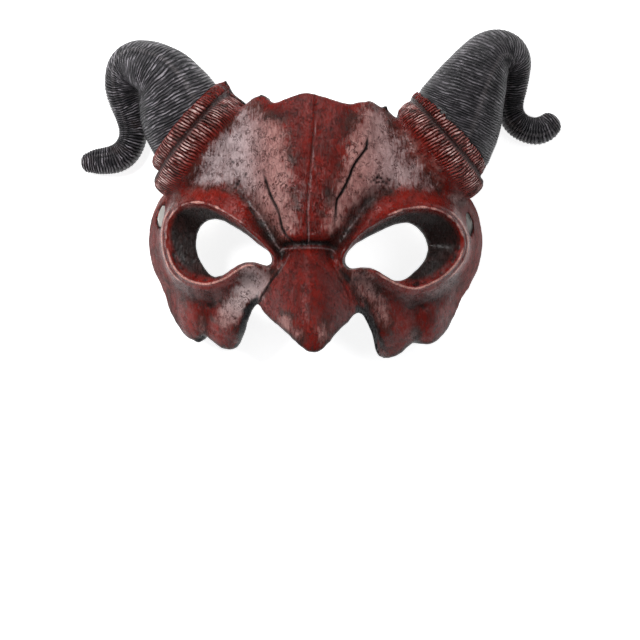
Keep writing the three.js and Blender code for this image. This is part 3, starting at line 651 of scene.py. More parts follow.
def horn_skin(name, horn, faces, grow, ribbed):
    """The skin of a horn with its plug, or without ribs the shape that cuts its socket."""
    at, fine = horn_line(horn)
    length = at[-1]
    end = length + fine[-1, 3] * 0.8

    def place(turn, along):
        distance = mix(-PLUG_LENGTH, end, along)
        on_line = np.clip(distance, 0, length)
        ahead = np.minimum(on_line + 0.8, length)
        tangent = unit(at_distance(at, fine, ahead) - at_distance(at, fine, ahead - 1.6))
        middle = at_distance(at, fine, on_line) + tangent * (distance - on_line)[:, None]
        flat, back = square_to(tangent)
        half = np.interp(on_line, at, fine[:, 3])
        share = on_line / length
        depth = half * mix(HORN_DEPTH_SHARE, 1, smooth_step(0, 0.5, share))
        angle = turn * 2 * math.pi
        relief = np.full(len(half), grow, float)
        if ribbed:
            smooth = middle + flat * (half * np.cos(angle))[:, None] + back * (depth * np.sin(angle))[:, None]
            relief += horn_relief(distance, angle, share, above_collar(smooth, horn))[0]
        rounding = np.sqrt(np.clip(1 - ((distance - length) / (end - length)) ** 2, 0, 1))
        rounding = drawn_together(along, np.where(distance > length, rounding, 1))
        across = (half + relief) * rounding * np.cos(angle)
        outward = (depth + relief) * rounding * np.sin(angle)
        return middle + flat * across[:, None] + back * outward[:, None]

    return wrapped_grid(name, *faces, place)


def around_keel(angle):
    """The angle from the keel line, from minus half a turn to half a turn."""
    return (angle - KEEL_ANGLE + math.pi) % (2 * math.pi) - math.pi


# Between these heights over the collar the ribs rise out of the plain foot
RIBS_BEGIN = (-1.8, 0.2)


def above_collar(points, horn):
    return (points - place_on_axis(horn, UPPER_RING_WIDTH, 0)) @ horn_frame(horn)[0]


def horn_relief(distance, angle, share, rise):
    """Transverse ribs that meet in a chevron at a raised keel line, smooth at the foot. Gives the relief,
    the phase counted in ribs and the keel's share."""
    from_keel = np.abs(around_keel(angle))
    swirl = np.column_stack([distance * 0.35, np.cos(angle) * 9, np.sin(angle) * 9])
    ragged = wobble(swirl, 9, 3) * 0.22 + wobble(swirl, 3.2, 4) * 0.1
    phase = distance / HORN_RIB_PERIOD + ragged + 0.8 * from_keel * (1 - share)
    strength = mix(0.75, 1.6, smooth_step(0.3, 0.6, share)) * (1 + 0.4 * wobble(swirl, 7, 5))
    begins = smooth_step(*RIBS_BEGIN, rise + 0.8 * wobble(swirl, 20, 6))
    keel_height = bump(from_keel, 0.075) * 0.5 - bump(from_keel - 0.19, 0.09) * 0.3
    keel = keel_height * smooth_step(1, 6, rise) * (1 - smooth_step(0.93, 1, share))
    swell = 0.3 * wobble(swirl, 22, 7)
    ribs = rib_profile(phase) * HORN_RIB_DEPTH * np.clip(strength, 0.15, 2)
    return ribs * begins + keel + swell * begins, phase, bump(from_keel, 0.05) * begins


def beyond_place(name, horn, at):
    """The half of space that lies further along a horn than a given place."""
    axis, across, out = horn_frame(horn)
    corner = place_on_axis(horn, at, 0)
    block = above_floor(name)
    local = face_points(block)
    turned = corner + np.outer(local[:, 0], across) + np.outer(local[:, 1], out) + np.outer(local[:, 2], axis)
    put_face_points(block, turned)
    in_edit_mode(block, face_outwards)
    return block


def above_floor(name):
    loop = BLOCK_REACH * np.array([(-1, -1), (1, -1), (1, 1), (-1, 1)], float)
    return prism(name, loop, 0, BLOCK_REACH)


def on_horn(points, horn):
    """How far along a horn each point lies, its angle round it and the horn's half width there."""
    at, fine = horn_line(horn)
    line = fine[:, :3]
    nearest_place = np.concatenate(
        [((some[:, None] - line) ** 2).sum(2).argmin(1) for some in np.array_split(points, 12)]
    )
    tangent = unit(np.gradient(line, axis=0))[nearest_place]
    off = points - line[nearest_place]
    flat, back = square_to(tangent)
    angle = np.arctan2((off * back).sum(1), (off * flat).sum(1))
    return at[nearest_place] + (off * tangent).sum(1), angle, fine[nearest_place, 3]


def make_horn(side):
    horn = HORNS[side]
    skin = horn_skin(f"{side}_horn_casting", horn, HORN_FACES, 0, True)
    join_or_cut(skin, beyond_place("foot_plane", horn, SOCKET_FLOOR + FIT_GAP), "INTERSECT")
    join_or_cut(skin, above_floor("floor_plane"), "INTERSECT")
    distance, angle, half = on_horn(face_points(skin), horn)
    share = distance / horn_line(horn)[0][-1]
    rise = above_collar(face_points(skin), horn)
    _, phase, keel = horn_relief(distance, angle, np.clip(share, 0, 1), rise)
    keep_values(skin, "strand", phase)
    keep_values(skin, "girth", around_keel(angle) * half)
    keep_masks(
        skin,
        keel=keel,
        curl=smooth_step(0.35, 0.75, share),
        foot=1 - smooth_step(*RIBS_BEGIN, rise),
        # painted light: the brush is stronger on faces turned up to the lamps, and on the left horn
        brush=horn["horn_light"] * smooth_step(-0.1, 0.75, normals_of(skin)[:, 2]),
        rib_hollow=0.5 + hollowness(skin, 6) * 2.2,
    )
    return skin


# The casting: carved face, collars, sockets, eye holes and slots cut as solids, then one smooth skin
SKIN_VOXEL = 1.28
SOCKET_SLACK = 0.35
SLOT = {"x": 95.6, "z": 25, "length": 19, "height": 10, "tilt": 25, "reach": (2.5, 11), "floor": 17}
SLOT_SIDES = {
    -1: (20.5, [(-93.5, 28.5), (-94.7, 27.2), (-95.7, 24.9), (-96.1, 22.1), (-96.3, 19.8), (-96.1, 17.1),
                (-95.7, 14.7), (-94.9, 12.7), (-93.5, 11.5), (-93, 13), (-92.7, 14.6), (-92.3, 16.8),
                (-91.9, 19.4), (-91.8, 22.1), (-91.8, 24.9), (-92.2, 27.1)]),
    1: (15.8, [(93, 23.2), (94.6, 22.2), (95.6, 20), (96.4, 17.5), (96.6, 14.4), (96.2, 12), (95.5, 9.6),
               (94.4, 7.6), (93.8, 8.4), (93.5, 10.6), (93, 12.9), (92.5, 15.2), (92.2, 18.2), (92.3, 21.3)]),
}


# Scraps of black foam that show past the painted edge: outline, and the heights between which each lies
FLASH = [
    ([(-55.7, 100.9), (-56.6, 92), (-49.9, 84), (-42, 84), (-40.9, 88.6), (-44.6, 91.6), (-48.8, 94.6),
      (-52, 100), (-54.1, 103.6)], 29.5, 36),
    ([(-34, 90.6), (-32.5, 92.7), (-30.3, 92.4), (-27.5, 90.9), (-25, 89), (-28, 86), (-34, 86)], 49.5, 56),
    ([(40, 83), (40.5, 85.8), (42.4, 86.8), (44, 86.2), (44.5, 81)], 45.5, 51.5),
    ([(-73, -50), (-72.8, -54.8), (-71.6, -56), (-67.9, -55), (-65, -52.6), (-63, -48)], 23, 29),
    ([(58, -50), (59.5, -56), (64.2, -56.8), (70.3, -56.8), (70, -50)], 26, 32),
]


def strap_passage(side):
    """The way of the elastic behind a slot's mouth."""
    tilt = math.radians(SLOT["tilt"])
    inward = np.array([-side * math.cos(tilt), 0, -math.sin(tilt)])
    up = np.array([-side * math.sin(tilt), 0, math.cos(tilt)])
    mouth = np.array([MIDDLE_X + side * SLOT["x"], SLOT_SIDES[side][0], SLOT["z"]])
    rows = 5

    def place(turn, along):
        angle = turn * 2 * math.pi
        square = (np.abs(np.cos(angle)) ** 4 + np.abs(np.sin(angle)) ** 4) ** -0.25
        square = drawn_together(along, square)
        return (
            mouth
            + np.outer(mix(*SLOT["reach"], between_caps(along, rows)), inward)
            + np.outer(np.cos(angle) * square * SLOT["length"] / 2, [0, 1, 0])
            + np.outer(np.sin(angle) * square * SLOT["height"] / 2, up)
        )

    return wrapped_grid("slot_cutter", 32, rows, place)


def carve_casting():
    casting = height_block(
        "half_mask_casting", FINE_SPACING, lambda x, y: from_lattice(face_lattice, x, y), FRONT_FLOOR
    )
    join_or_cut(casting, prism("outline", outline, 0, OVER_ALL), "INTERSECT")
    for horn in HORNS.values():
        lower = collar_ring("lower_ring", horn, horn["lower"], -LOWER_RING_WIDTH, LOWER_RING_WIDTH)
        join_or_cut(casting, lower, "UNION")
        join_or_cut(casting, collar_foot("collar_foot", horn), "UNION")
    join_or_cut(casting, height_block("hollow", HOLLOW_SPACING, hollow_height, HOLLOW_FLOOR), "DIFFERENCE")
    for horn in HORNS.values():
        width = UPPER_RING_WIDTH + RING_OVERLAP
        join_or_cut(casting, collar_ring("upper_ring", horn, horn["upper"], -RING_OVERLAP, width), "UNION")
        socket = horn_skin("socket", horn, SOCKET_FACES, FIT_GAP + SOCKET_SLACK, False)
        join_or_cut(socket, beyond_place("socket_plane", horn, SOCKET_FLOOR), "INTERSECT")
        join_or_cut(casting, socket, "DIFFERENCE")
    join_or_cut(casting, above_floor("floor_plane"), "INTERSECT")
    for loop, low, high in FLASH:
        join_or_cut(casting, prism("flash", loop, low, high), "UNION")
    for loop in hole_lines:
        join_or_cut(casting, prism("eye_hole", loop, FRONT_FLOOR, OVER_ALL), "DIFFERENCE")
    for side, (_, mouth) in SLOT_SIDES.items():
        join_or_cut(casting, strap_passage(side), "DIFFERENCE")
        mouth = smooth_line(mouth, True, 3)
        join_or_cut(casting, prism("mouth", mouth, SLOT["floor"], OVER_ALL), "DIFFERENCE")
    applied(casting, "REMESH", mode="VOXEL", voxel_size=SKIN_VOXEL * MM)
    in_edit_mode(casting, drop_crumbs)
    applied(casting, "SMOOTH", factor=0.5, iterations=3)
    soften_rim(casting)
    melt_collars(casting)
    return casting


def drop_crumbs():
    """Keeps the body that holds the nose and deletes every loose crumb that the cuts leave."""
    casting = bpy.context.object
    bpy.ops.object.mode_set(mode="OBJECT")
    chosen = np.zeros(len(casting.data.vertices), bool)
    chosen[points_of(casting)[:, 2].argmax()] = True
    bpy.ops.object.mode_set(mode="EDIT")
    bpy.ops.mesh.select_all(action="DESELECT")
    bpy.ops.object.mode_set(mode="OBJECT")
    casting.data.vertices.foreach_set("select", chosen)
    bpy.ops.object.mode_set(mode="EDIT")
    bpy.ops.mesh.select_linked()
    bpy.ops.mesh.select_all(action="INVERT")
    bpy.ops.mesh.delete(type="VERT")


def soften_rim(casting):
    """Rounds the inner edge of the rim, clear of the collars, the slots and the flat that lies down."""
    points = face_points(casting)
    x, y, z = points.T
    rim = (np.abs(signed_distance(x, y, outline)) < 4.5) & (below_front(points) > 2.2) & (z > 0.5)
    rim &= (np.abs(x) < 86) | (y < 4)
    for horn in HORNS.values():
        along, ((share, _), _) = ring_place(points, horn)
        rim &= (along < -LOWER_RING_WIDTH) | (share > 1.2)
    applied_to(casting, rim, "SMOOTH", factor=0.5, iterations=32)


def melt_collars(casting):
    """The lower ring runs softly into the forehead."""
    points = face_points(casting)
    foot = np.zeros(len(points), bool)
    for horn in HORNS.values():
        along, ((share, _), _) = ring_place(points, horn)
        foot |= (np.abs(along + LOWER_RING_WIDTH + 4) < 9) & (share > 0.6) & (share < 1.3)
    applied_to(casting, foot & (below_front(points) < 3), "SMOOTH", factor=0.5, iterations=30)


def ring_place(points, horn):
    """Where points lie on a collar: along its axis, their angle, and their share of each ring's radius."""
    axis, across, out = horn_frame(horn)
    local = points - np.array(horn["seam"])
    along = local @ axis
    shares = []
    for radius, slide in (horn["lower"], horn["upper"]):
        c = local @ across - slide
        o = local @ out / COLLAR_DEPTH_SHARE
        shares.append((np.hypot(c, o) / radius, np.arctan2(c, o)))
    return along, shares


def collar_masks(points, horn):
    """How much each point belongs to the lower and the upper ring, and to the recess between them."""
    along, ((lower_share, lower_angle), (upper_share, upper_angle)) = ring_place(points, horn)
    lower = smooth_step(-LOWER_RING_WIDTH - 3, -LOWER_RING_WIDTH + 2.5, along)
    lower *= 1 - smooth_step(-1.5, 0, along)
    lower *= smooth_step(0.86, 0.93, lower_share)
    upper = smooth_step(0, 1.2, along) * (1 - smooth_step(UPPER_RING_WIDTH - 1.5, UPPER_RING_WIDTH, along))
    upper *= smooth_step(0.86, 0.93, upper_share)
    recess = bump(along + 0.2, 1.3) * (1 - smooth_step(0.99, 1.04, lower_share))
    return along, (lower, lower_angle), (upper, upper_angle), recess


COLLAR_RIB_PERIOD = 1.9
COLLAR_RIB_DEPTH = 0.6


def rib_phases(points, horn):
    """Ribs across the bands, counted round each ring, a little ragged. Gives phase and strength."""
    along, (lower, lower_angle), (upper, upper_angle), _ = collar_masks(points, horn)
    seed = horn["rib_seed"]
    on_upper = along > -0.2
    angle = np.where(on_upper, upper_angle, lower_angle)
    radius = np.where(on_upper, horn["upper"][0], horn["lower"][0])
    arc = angle * radius * 0.93
    place = np.column_stack([arc, along * 0.45 + 90 * on_upper])
    phase = arc / COLLAR_RIB_PERIOD + 0.09 * along + 0.22 * wobble(place, 17, seed)
    phase += 0.1 * wobble(place, 5, seed + 1)
    strength = np.clip(0.9 + 0.5 * wobble(place, 8, seed + 2), 0.15, 1.6)
    return phase, strength, lower, upper, along


def ribs_fade_in(along):
    """The ribs of a lower ring fade in from its foot."""
    return smooth_step(-LOWER_RING_WIDTH - 1, -LOWER_RING_WIDTH + 6, along)


# Grooves cut in the front: points, depth, half width, and the shares of the line where they fade in and out
GROOVES = {
    "centre": ([(0.3, 91), (0.1, 78), (-1.2, 62), (-2, 52), (-3.1, 40), (-3.9, 29.4), (-4.7, 18),
                (-4, 10), (-4.3, 2.5)], 0.58, 0.42, (-1, 0), (1, 2)),
    "left_crack": ([(-30.7, 45.4), (-29, 41), (-27.6, 36.2), (-24.5, 27.8), (-21, 21), (-19, 11.7),
                    (-15, 5.6), (-10.8, 1.8)], 1.5, 0.6, (-0.05, 0.15), (0.8, 1.05)),
    "left_hairline": ([(-25.4, 31), (-23.4, 27), (-20.2, 21.5), (-18, 16)], 0.5, 0.4, (0, 0.4), (0.6, 1)),
    "right_crack": ([(32.5, 67.6), (31.6, 63), (30.2, 58.4), (23.6, 49.2), (20.6, 41.5), (17.5, 34.7),
                     (13.3, 27.8), (12.9, 20.9), (12.5, 13.2)], 1.7, 0.68, (-0.05, 0.12), (0.8, 1.05)),
    "nose_crease": ([(-20, 0.5), (-16.5, 2), (-10, 2.6), (-4.5, 2.8), (3, 2.6), (9, 2), (12, 0.6)],
                    1.5, 2.2, (-1, 0), (1, 2)),
    "left_nose": ([(-15.6, -3.6), (-18.8, -10.1), (-22, -14.6), (-25.3, -18.6), (-28, -22.6),
                   (-30.5, -26.4), (-33.1, -31.7)], 1.4, 0.62, (-0.3, 0.6), (1, 2)),
    "right_nose": ([(9.5, -6.6), (11.8, -11), (14.1, -15.5), (18, -22), (20.6, -28.6), (21.3, -33.9)],
                   0.5, 0.55, (0, 0.3), (0.8, 1.1)),
}
# Pale worn edges beside the grooves and valleys, dry brush and painted highlight on their lips: points, reach
# and strength
WORN_AND_LIT_LINES = [
    ([(1.3, 88), (1.1, 78), (-0.2, 62), (-1, 52), (-2.1, 40), (-2.9, 29.4), (-3.7, 18), (-3, 10), (-3.3, 4)],
     1.6, 0.66),
    ([(-39.2, 28.9), (-37.1, 25.2), (-32.6, 20.3), (-28.9, 13.6), (-24.9, 7.6), (-23.2, 3.4), (-20.8, 0.3)],
     1.9, 0.68),
    ([(35, 29.6), (31.2, 25.9), (27.3, 21.8), (23.7, 15.8), (19.6, 10.9), (17.4, 6.6)], 1.9, 0.62),
    ([(-20.5, -2), (-18.5, -0.4), (-14, 0.1), (-4, 0.3), (4, 0.2), (10, -0.6), (12.5, -3)], 1.7, 0.64),
    ([(-14.6, -3.4), (-17.8, -10), (-21, -14.4)], 1.8, 0.6),
    ([(-32.2, -25.6), (-34, -27.4), (-33.6, -29.4)], 2, 0.9),
]
# Pits: x, y, half size, depth
PITS = [
    (-45.8, 38.5, 1.5, 1.3), (-44.6, 40.2, 0.8, 0.9), (-46.6, 36.4, 0.8, 0.8), (27.2, 42.4, 0.9, 1.1),
    (35.6, 40.3, 1.0, 1.1), (37.4, 42, 1.2, 1.3), (39.6, 41.6, 0.9, 1.0), (41, 39.6, 1.1, 1.2),
    (36.8, 38.8, 0.8, 0.9), (43, 38.6, 0.9, 0.9), (38.4, 39.4, 0.8, 0.9), (44.4, 40.6, 0.7, 0.7),
    (33.6, 39.4, 0.7, 0.7), (-40.5, 44, 0.7, 0.5), (-37, 52, 0.7, 0.5), (-48.5, 52, 0.8, 0.5),
]


# Between these depths under the front its paint and its fine carving end
FRONT_ENDS = (0.9, 2.4)


def below_front(points):
    """Depth under the painted front, square to it, in millimetres."""
    x, y, z = points.T
    steep = np.sqrt(1 + from_lattice(slope_x, x, y) ** 2 + from_lattice(slope_y, x, y) ** 2)
    return (from_lattice(face_lattice, x, y) - z) / steep


def groove_marks(x, y):
    """The cut of every groove in millimetres, and how close each point is to one, 0 to 1."""
    cut = np.zeros(len(x))
    mark = np.zeros(len(x))
    for points, depth, width, start, stop in GROOVES.values():
        far, along = distance_to_line(x, y, smooth_line(points, steps=5))
        taper = smooth_step(*start, along) * (1 - smooth_step(*stop, along))
        cut += depth * bump(far, width) * taper - 0.25 * bump(far - width * 2.2, width * 0.9) * taper
        blackness = (depth > 0.6) * (0.5 if width > 1 else 1)
        mark = np.maximum(mark, bump(far, width * 1.15) * taper * blackness)
    return cut, mark


def from_pits(x, y):
    """How far each point lies from each pit, with the pit's half size and depth."""
    return [(np.hypot(x - pit_x, y - pit_y), size, depth) for pit_x, pit_y, size, depth in PITS]


def near_grooves(points, reach):
    x, y, _ = points.T
    wanted = np.zeros(len(points), bool)
    for line, _, width, _, _ in GROOVES.values():
        far, _ = distance_to_line(x, y, smooth_line(line, steps=3))
        wanted |= far < width + reach
    for far, size, _ in from_pits(x, y):
        wanted |= far < size * 1.5 + reach * 0.4
    return wanted & (below_front(points) < 1.8)


def near_detail(points):
    """Where the skin needs finer faces: on the ribbed bands, the eye rims, the grooves and the pits."""
    x, y, z = points.T
    wanted = near_grooves(points, 0.9)
    for horn in HORNS.values():
        along, (lower, _), (upper, _), _ = collar_masks(points, horn)
        ribbed = (lower > 0.04) & (along > 1 - LOWER_RING_WIDTH)
        wanted |= (ribbed | (upper > 0.04)) & (z > 16)
    return wanted | ((np.abs(crest_distance(x, y) - 0.6) < 2) & (below_front(points) < 1.5) & (z > 8))


def refine(obj, wanted):
    """Cuts each chosen face in four."""
    only(obj)
    bpy.ops.object.mode_set(mode="EDIT")
    bpy.ops.mesh.select_mode(type="EDGE")
    bpy.ops.mesh.select_all(action="DESELECT")
    bpy.ops.object.mode_set(mode="OBJECT")
    a, b = edge_ends(obj)
    obj.data.edges.foreach_set("select", wanted[a] & wanted[b])
    bpy.ops.object.mode_set(mode="EDIT")
    bpy.ops.mesh.subdivide(number_cuts=1)
    bpy.ops.object.mode_set(mode="OBJECT")


def press_details(casting):
    """Moves the skin in and out along its normals for grooves, pits, rim lines and collar ribs."""
    points = face_points(casting)
    x, y, _ = points.T
    front = 1 - smooth_step(*FRONT_ENDS, below_front(points))
    move = -groove_marks(x, y)[0] * front
    for far, size, depth in from_pits(x, y):
        move -= depth * bump(far, size) * front
    crest = crest_distance(x, y)
    temple = smooth_step(52, 76, aside(x)) * (1 - smooth_step(24, 32, y))
    move += (0.75 * bump(crest - 0.1, 0.9) + 0.4 * bump(crest - 3.4, 0.7) * temple) * front
    move -= 0.5 * bump(crest - 2, 0.8) * temple * front
    on_collar = np.zeros(len(points))
    for horn in HORNS.values():
        phase, strength, lower, upper, along = rib_phases(points, horn)
        on_collar = np.maximum(on_collar, np.maximum(lower, upper))
        smooth_lip = 1 - bump(along + 1.2, 1.1)
        ribbed = (lower * ribs_fade_in(along) + upper) * smooth_lip
        move += rib_profile(phase) * strength * ribbed * COLLAR_RIB_DEPTH
    swell = 0.2 * wobble(points, 17, 11) + 0.1 * wobble(points, 6.5, 12)
    move += swell * (1 - on_collar) * smooth_step(2, 8, points[:, 2])
    points += normals_of(casting) * move[:, None]
    points[:, 2] = np.maximum(points[:, 2], 0)
    put_face_points(casting, points)


def lighten_back(casting):
    """Fewer faces inside, where the foam is plain black."""
    points = face_points(casting)
    inside = below_front(points) > WALL - 1.6
    for horn in HORNS.values():
        _, (lower, _), (upper, _), _ = collar_masks(points, horn)
        inside &= (lower < 0.05) & (upper < 0.05)
    ratio = 1 - inside.mean() * 0.86
    applied_to(casting, inside, "DECIMATE", ratio=ratio, use_collapse_triangulate=True)


# Where the front is dry-brushed grey over the red: both sides of the brow and the insides of the cheeks.
# Outline, softness of its edge and strength
GREY_FIELDS = [
    ([(-47.2, 84.3), (-40.4, 86.2), (-34.3, 83.3), (-27.6, 78.6), (-21, 74.1), (-17.4, 67.3), (-15.5, 53.3),
      (-15.5, 36.6), (-12.5, 21.9), (-12.5, 10.7), (-19, 6.7), (-26, 12), (-32.6, 21.5), (-38.5, 31),
      (-45.1, 36), (-54.9, 39.3), (-65.4, 38), (-72.5, 42.2), (-65.8, 54.1), (-56.7, 67.2), (-49.5, 76.8)],
     2.5, 1),
    ([(34.9, 85.2), (28.3, 81.7), (22.9, 76.6), (21, 66.1), (22.2, 58.8), (18, 45), (13.3, 35.4),
      (10.3, 27.2), (7.4, 15.4), (9.7, 9), (13.8, 11.9), (20.3, 21.3), (28.6, 29.1), (42.2, 35.9),
      (53.1, 39.2), (66, 36.8), (72.9, 37.2), (66.1, 44.7), (57, 54.7), (49.2, 65.3), (43.9, 75),
      (39.8, 82.3)], 2.5, 1),
    ([(-42.2, -10.1), (-34.4, -11.3), (-25, -13.7), (-27.4, -21.3), (-33.5, -30.1), (-39.5, -31.9),
      (-43.9, -39.6), (-47.7, -45.6), (-55.7, -46.8), (-59.2, -40.8), (-55.3, -31.8), (-46.6, -24.2),
      (-44.1, -17.1)], 1.3, 1),
    ([(22.1, -11.4), (31.6, -13.1), (35.2, -19.5), (41.3, -28.9), (46.4, -40.8), (44.1, -48), (37.9, -43.2),
      (33, -33.7), (25.8, -28.4), (21.6, -20.8)], 1.6, 0.8),
]
# Softer patches of it, and brown stains: x, y, reach in x, reach in y, strength
GREY_PATCHES = [
    (-17, -43.5, 5, 7, 0.75), (-9.5, -51, 4.5, 5.5, 0.7), (5.5, -49.5, 4.2, 7.5, 0.75),
    (-97, -2, 1.6, 17, 0.25), (97, -4, 1.8, 16, 0.25), (-91, -24, 4, 14, 0.3), (89, -27, 4, 13, 0.25),
    (-80, -34, 4, 9, 0.35), (-88, 33, 6, 5, 0.5), (88, 31, 6, 5, 0.5), (-68, -45, 3, 8, 0.6),
    (62, -50, 6, 5, 0.4), (-22, -12, 4, 7, 0.35), (16, -14, 4, 8, 0.4), (-66, 15.5, 5, 3.5, 0.45),
    (-65, -9, 7, 5, 0.5), (66, 12, 4, 3, 0.4), (66, -9, 6, 5, 0.4),
]
BROWN_STAINS = [
    (6.2, 59.9, 5, 7, 0.8), (8, 33.6, 5, 8, 0.85), (-6.5, 45.5, 3, 7, 0.5), (18.5, 70, 4, 7, 0.75),
    (-20, 80, 7, 4, 0.7), (-9, 26, 4, 10, 0.4), (2, 78, 3, 6, 0.5), (13, 50, 5, 8, 0.5),
    (-12, 62, 4, 9, 0.45), (-46, 37.5, 4, 3, 0.15), (40, 36.5, 7, 4, 0.2), (66, 33, 8, 3, 0.2),
    (-62, -30, 14, 4, 0.7), (63, -31, 14, 4, 0.7), (-48, -50, 5, 6, 0.5), (48, -54, 6, 5, 0.5),
    (-15, -20, 5, 12, 0.3), (8, -34, 6, 10, 0.3), (-63, -42, 3, 9, 0.5), (60, -43, 4, 9, 0.5),
    (-31, -14, 6, 4, 0.7), (-52, 62, 3, 5, 0.4), (-33, 60, 4, 7, 0.35), (36, 66, 4, 8, 0.4),
]
# Fully saturated red: the bulges over the eyes, the lower eye rims and the cheek lobes
VIVID_PATCHES = [
    (-66, 33, 18, 7, 1), (-45, 24, 12, 7, 0.8), (62, 31, 18, 7, 0.85), (42, 23, 12, 6, 0.7),
    (-62, -20, 20, 4, 0.7), (62, -23, 20, 4, 0.55), (-58, -44, 8, 9, 1), (-76, -42, 6, 9, 0.8),
    (52, -46, 12, 10, 0.75), (-87, 8, 2.5, 16, 0.7), (88, 5, 2.5, 16, 0.6), (-5, -48, 5, 10, 0.4),
]


def patches(x, y, spots):
    """The strongest of several soft patches at each point."""
    return np.max(
        [strength * bump(np.hypot((x - px) / rx, (y - py) / ry), 1) for px, py, rx, ry, strength in spots],
        axis=0,
    )


def paint_collars(casting, points):
    """Keeps the masks that only the collars have. Gives their ribbed bands, the recesses between their rings,
    their painted sides and their feet."""
    phase, on_axis, collar, recess, lip, shoulder, foot, painted = np.zeros((8, len(points)))
    for horn in HORNS.values():
        ring_phase, _, lower, upper, along = rib_phases(points, horn)
        _, ((lower_share, _), (upper_share, _)) = ring_place(points, horn)
        across = (points - np.array(horn["seam"])) @ horn_frame(horn)[1]
        band = np.maximum(lower * ribs_fade_in(along), upper)
        here = np.maximum(lower, upper) > 0
        phase = np.where(here, ring_phase, phase)
        on_axis = np.where(here, along, on_axis)
        between = collar_masks(points, horn)[3]
        recess = np.maximum(recess, between)
        lip = np.maximum(lip, bump(along + 1.5, 1.2) * lower)
        # painted highlight with dry brush where the light catches the ring shoulders, weaker on the right
        # collar
        lit = bump(along + 6, 4) * lower + bump(along - 4.6, 2.9) * upper
        lit *= horn["collar_light"] * (1 - smooth_step(12, 24, across) * (along > 0))
        shoulder = np.maximum(shoulder, lit)
        collar = np.maximum(collar, band)
        near_ring = smooth_step(0.55, 0.7, lower_share) * (1 - smooth_step(1.25, 1.5, lower_share))
        foot = np.maximum(foot, bump(along + LOWER_RING_WIDTH + 3, 7) * near_ring)
        outside = np.where(along > -0.2, upper_share, lower_share)
        painted = np.maximum(painted, np.maximum(band, between) * (1 - smooth_step(1.02, 1.06, outside)))
    keep_values(casting, "rib_phase", phase)
    keep_values(casting, "on_axis", on_axis)
    keep_masks(casting, collar=collar, shoulder=shoulder, lip=lip, foot=foot * (1 - collar))
    return collar, recess, painted, foot


def red_front(points, ragged, painted):
    """The painted front. Bare black foam shows behind it, in the notches and on the scraps."""
    x, y, z = points.T
    low_end = smooth_step(46, 58, -y)
    on_nose = smooth_step(-33.8, -32.6, x) * (1 - smooth_step(23.4, 24.6, x))
    from_notch = nearest(x, y, notch_edges) + 0.5 * ragged
    bare = 1 - smooth_step(3.4 - 2.6 * low_end, 5 - 2.8 * low_end, from_notch)
    scraps = [
        (signed_distance(x, y, loop) < 0.4) & (z < high + 1) & (z > low - 1)
        for loop, low, high in FLASH
    ]
    scrap = np.max(scraps, axis=0) * smooth_step(-0.6, 0.4, signed_distance(x, y, outline))
    front = 1 - smooth_step(*FRONT_ENDS, below_front(points) + 0.4 * ragged)
    return np.maximum(front * (1 - bare * (1 - on_nose)) * (1 - scrap), painted * smooth_step(4, 10, z))


def worn_and_lit_lines(x, y):
    lines = [(smooth_line(line), reach, weight) for line, reach, weight in WORN_AND_LIT_LINES]
    return np.max([weight * tent(nearest(x, y, [line]), reach) for line, reach, weight in lines], axis=0)


def darkened(points, crest, worn):
    """Where black, dark wash and painted shade lie: sockets, valleys, grooves, pits, edges and stains."""
    x, y, _ = points.T
    low = smooth_step(10, -6, y)
    hole = np.min([np.abs(signed_distance(x, y, line)) for line in hole_lines], axis=0)
    brow = (1 - smooth_step(30, 46, aside(x))) * smooth_step(-0.5, 1.5, crest)
    crease = smooth_line(GROOVES["nose_crease"][0])
    shades = [
        # dark wash and painted shade on the socket walls
        smooth_step(0.4 + 1.4 * low, 3.6 + 2.8 * low, -crest),
        bump(hole, 2) * smooth_step(52, 62, aside(x)),
        0.95 * bump(nearest(x, y, brow_lines), 5.4) * brow,
        0.6 * bump(nearest(x, y, cheek_lines), 5) * smooth_step(2, 5, crest),
        0.6 * bump(nearest(x, y, notch_lines), 2.6) * smooth_step(38, 50, -y),
        # painted shade along the nose crease
        0.7 * bump(nearest(x, y, [crease]), 2.6),
        groove_marks(x, y)[1],
        smooth_step(0.3, 1.5, below_front(points)),
        0.8 * bump(signed_distance(x, y, outline), 1.7) * smooth_step(30, 44, -y),
        patches(x, y, BROWN_STAINS) * 0.6,
        *[0.9 * bump(far, size * 0.95) for far, size, _ in from_pits(x, y)],
    ]
    return np.max(shades, axis=0) * (1 - smooth_step(0.4, 0.8, worn))


def dry_brushed(x, y, ragged):
    """How much grey lies over the red."""
    grey = patches(x, y, GREY_PATCHES)
    for field, softness, weight in GREY_FIELDS:
        inside = signed_distance(x, y, field) + ragged
        grey = np.maximum(grey, weight * np.clip(0.5 - inside / (6.4 * softness), 0, 1))
    return grey


